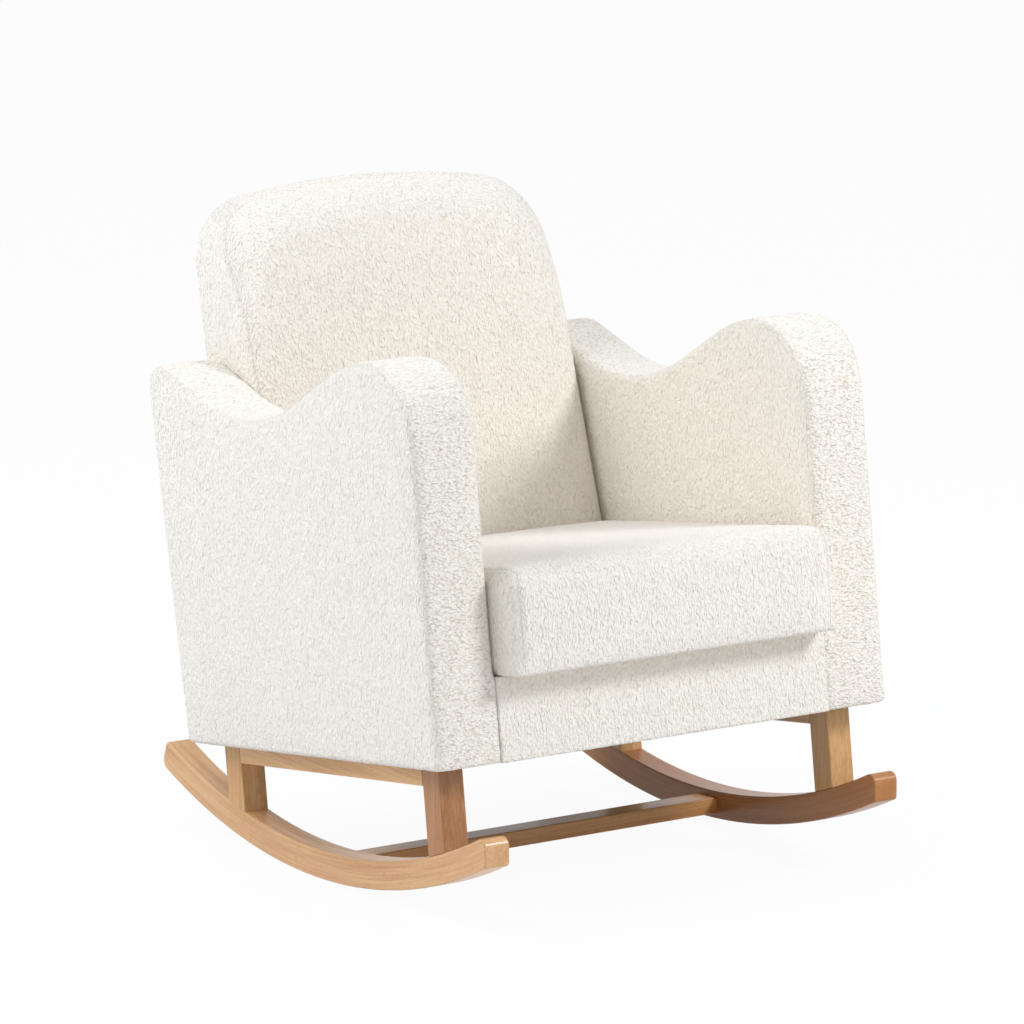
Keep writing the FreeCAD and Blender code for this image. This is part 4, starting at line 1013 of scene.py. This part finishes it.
# %% Stage
ROOM_COLOUR, ROOM_STRENGTH = (0.88, 0.925, 1.0, 1.0), 0.58
FLOOR_COLOUR, FLOOR_HALF = (0.8, 0.8, 0.8, 1.0), 12.0
FLOOR_WHITE = 0.95  # share of plain white that the camera sees. The rest keeps the shadow.
LAMP_AIM, LAMP_DISTANCE = Vector((0, 0, 0.45)), 4.0
CAMERA_DOWN, CAMERA_TURN = 11.476, 33.583  # degrees


def white_when_seen(tree, lit, glow, share, output):
    """Shows that share of white to the camera and in reflections. The light that falls on the chair
    stays as it is."""
    path = tree.nodes.new("ShaderNodeLightPath")
    rays = ("Is Camera Ray", "Is Glossy Ray", "Is Transmission Ray")
    camera, glossy, through = [Wire(tree, path.outputs[ray]) for ray in rays]
    seen = camera.maths("MAXIMUM", camera, camera.maths("MAXIMUM", glossy, through)) * share
    white = tree.nodes.new(glow)
    white.inputs["Color"].default_value = (1.0, 1.0, 1.0, 1.0)
    choice = tree.nodes.new("ShaderNodeMixShader")
    tree.links.new(seen.output, choice.inputs[0])
    tree.links.new(tree.nodes[lit].outputs[0], choice.inputs[1])
    tree.links.new(white.outputs[0], choice.inputs[2])
    tree.links.new(choice.outputs[0], tree.nodes[output].inputs["Surface"])


scene.view_settings.view_transform = "Standard"
room = bpy.data.worlds.new("white_room")
scene.world = room
room.use_nodes = True
room.node_tree.nodes["Background"].inputs["Color"].default_value = ROOM_COLOUR
room.node_tree.nodes["Background"].inputs["Strength"].default_value = ROOM_STRENGTH
white_when_seen(room.node_tree, "Background", "ShaderNodeBackground", 1.0, "World Output")

floor_mesh = bpy.data.meshes.new("floor")
ends = [(-1, -1), (1, -1), (1, 1), (-1, 1)]
floor_mesh.from_pydata([(x * FLOOR_HALF, y * FLOOR_HALF, 0) for x, y in ends], [], [(0, 1, 2, 3)])
floor = bpy.data.objects.new("floor", floor_mesh)
scene.collection.objects.link(floor)
paint = bpy.data.materials.new("white_floor")
paint.use_nodes = True
paint.node_tree.nodes["Principled BSDF"].inputs["Base Color"].default_value = FLOOR_COLOUR
paint.node_tree.nodes["Principled BSDF"].inputs["Roughness"].default_value = 0.9
white_when_seen(paint.node_tree, "Principled BSDF", "ShaderNodeEmission", FLOOR_WHITE, "Material Output")
floor_mesh.materials.append(paint)
floor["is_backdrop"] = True


def lamp(name, toward, size, power, colour):
    """A square lamp in a direction from the seat, facing it."""
    light = bpy.data.lights.new(name, "AREA")
    light.size = size
    light.energy = power
    light.color = colour
    made = bpy.data.objects.new(name, light)
    direction = Vector(toward).normalized()
    made.location = LAMP_AIM + direction * LAMP_DISTANCE
    made.rotation_euler = direction.to_track_quat("Z", "Y").to_euler()
    scene.collection.objects.link(made)
    print("lamp", name, power, "W")


lamp("key", (0.498, -0.642, 0.582), 1.0, 95.0, (0.89, 0.935, 1.0))
lamp("side", (-0.72, 0.35, 0.73), 2.5, 115.0, (0.87, 0.925, 1.0))

camera = bpy.data.objects.new("camera", bpy.data.cameras.new("camera"))
camera.data.sensor_width = 36.0
camera.data.lens = 205.5
camera.data.clip_end = 100.0
camera.location = (-4.2001, -6.3160, 1.9895)
camera.rotation_euler = (math.radians(90 - CAMERA_DOWN), 0.0, math.radians(-CAMERA_TURN))
scene.collection.objects.link(camera)
scene.camera = camera

# %% [markdown]
# ## Sizes
#
# The visual stays in the box of the CAD part, apart from the few millimetres that foam swells.

# %% Finish
low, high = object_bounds()
print("visual box", tuple(low), tuple(high))
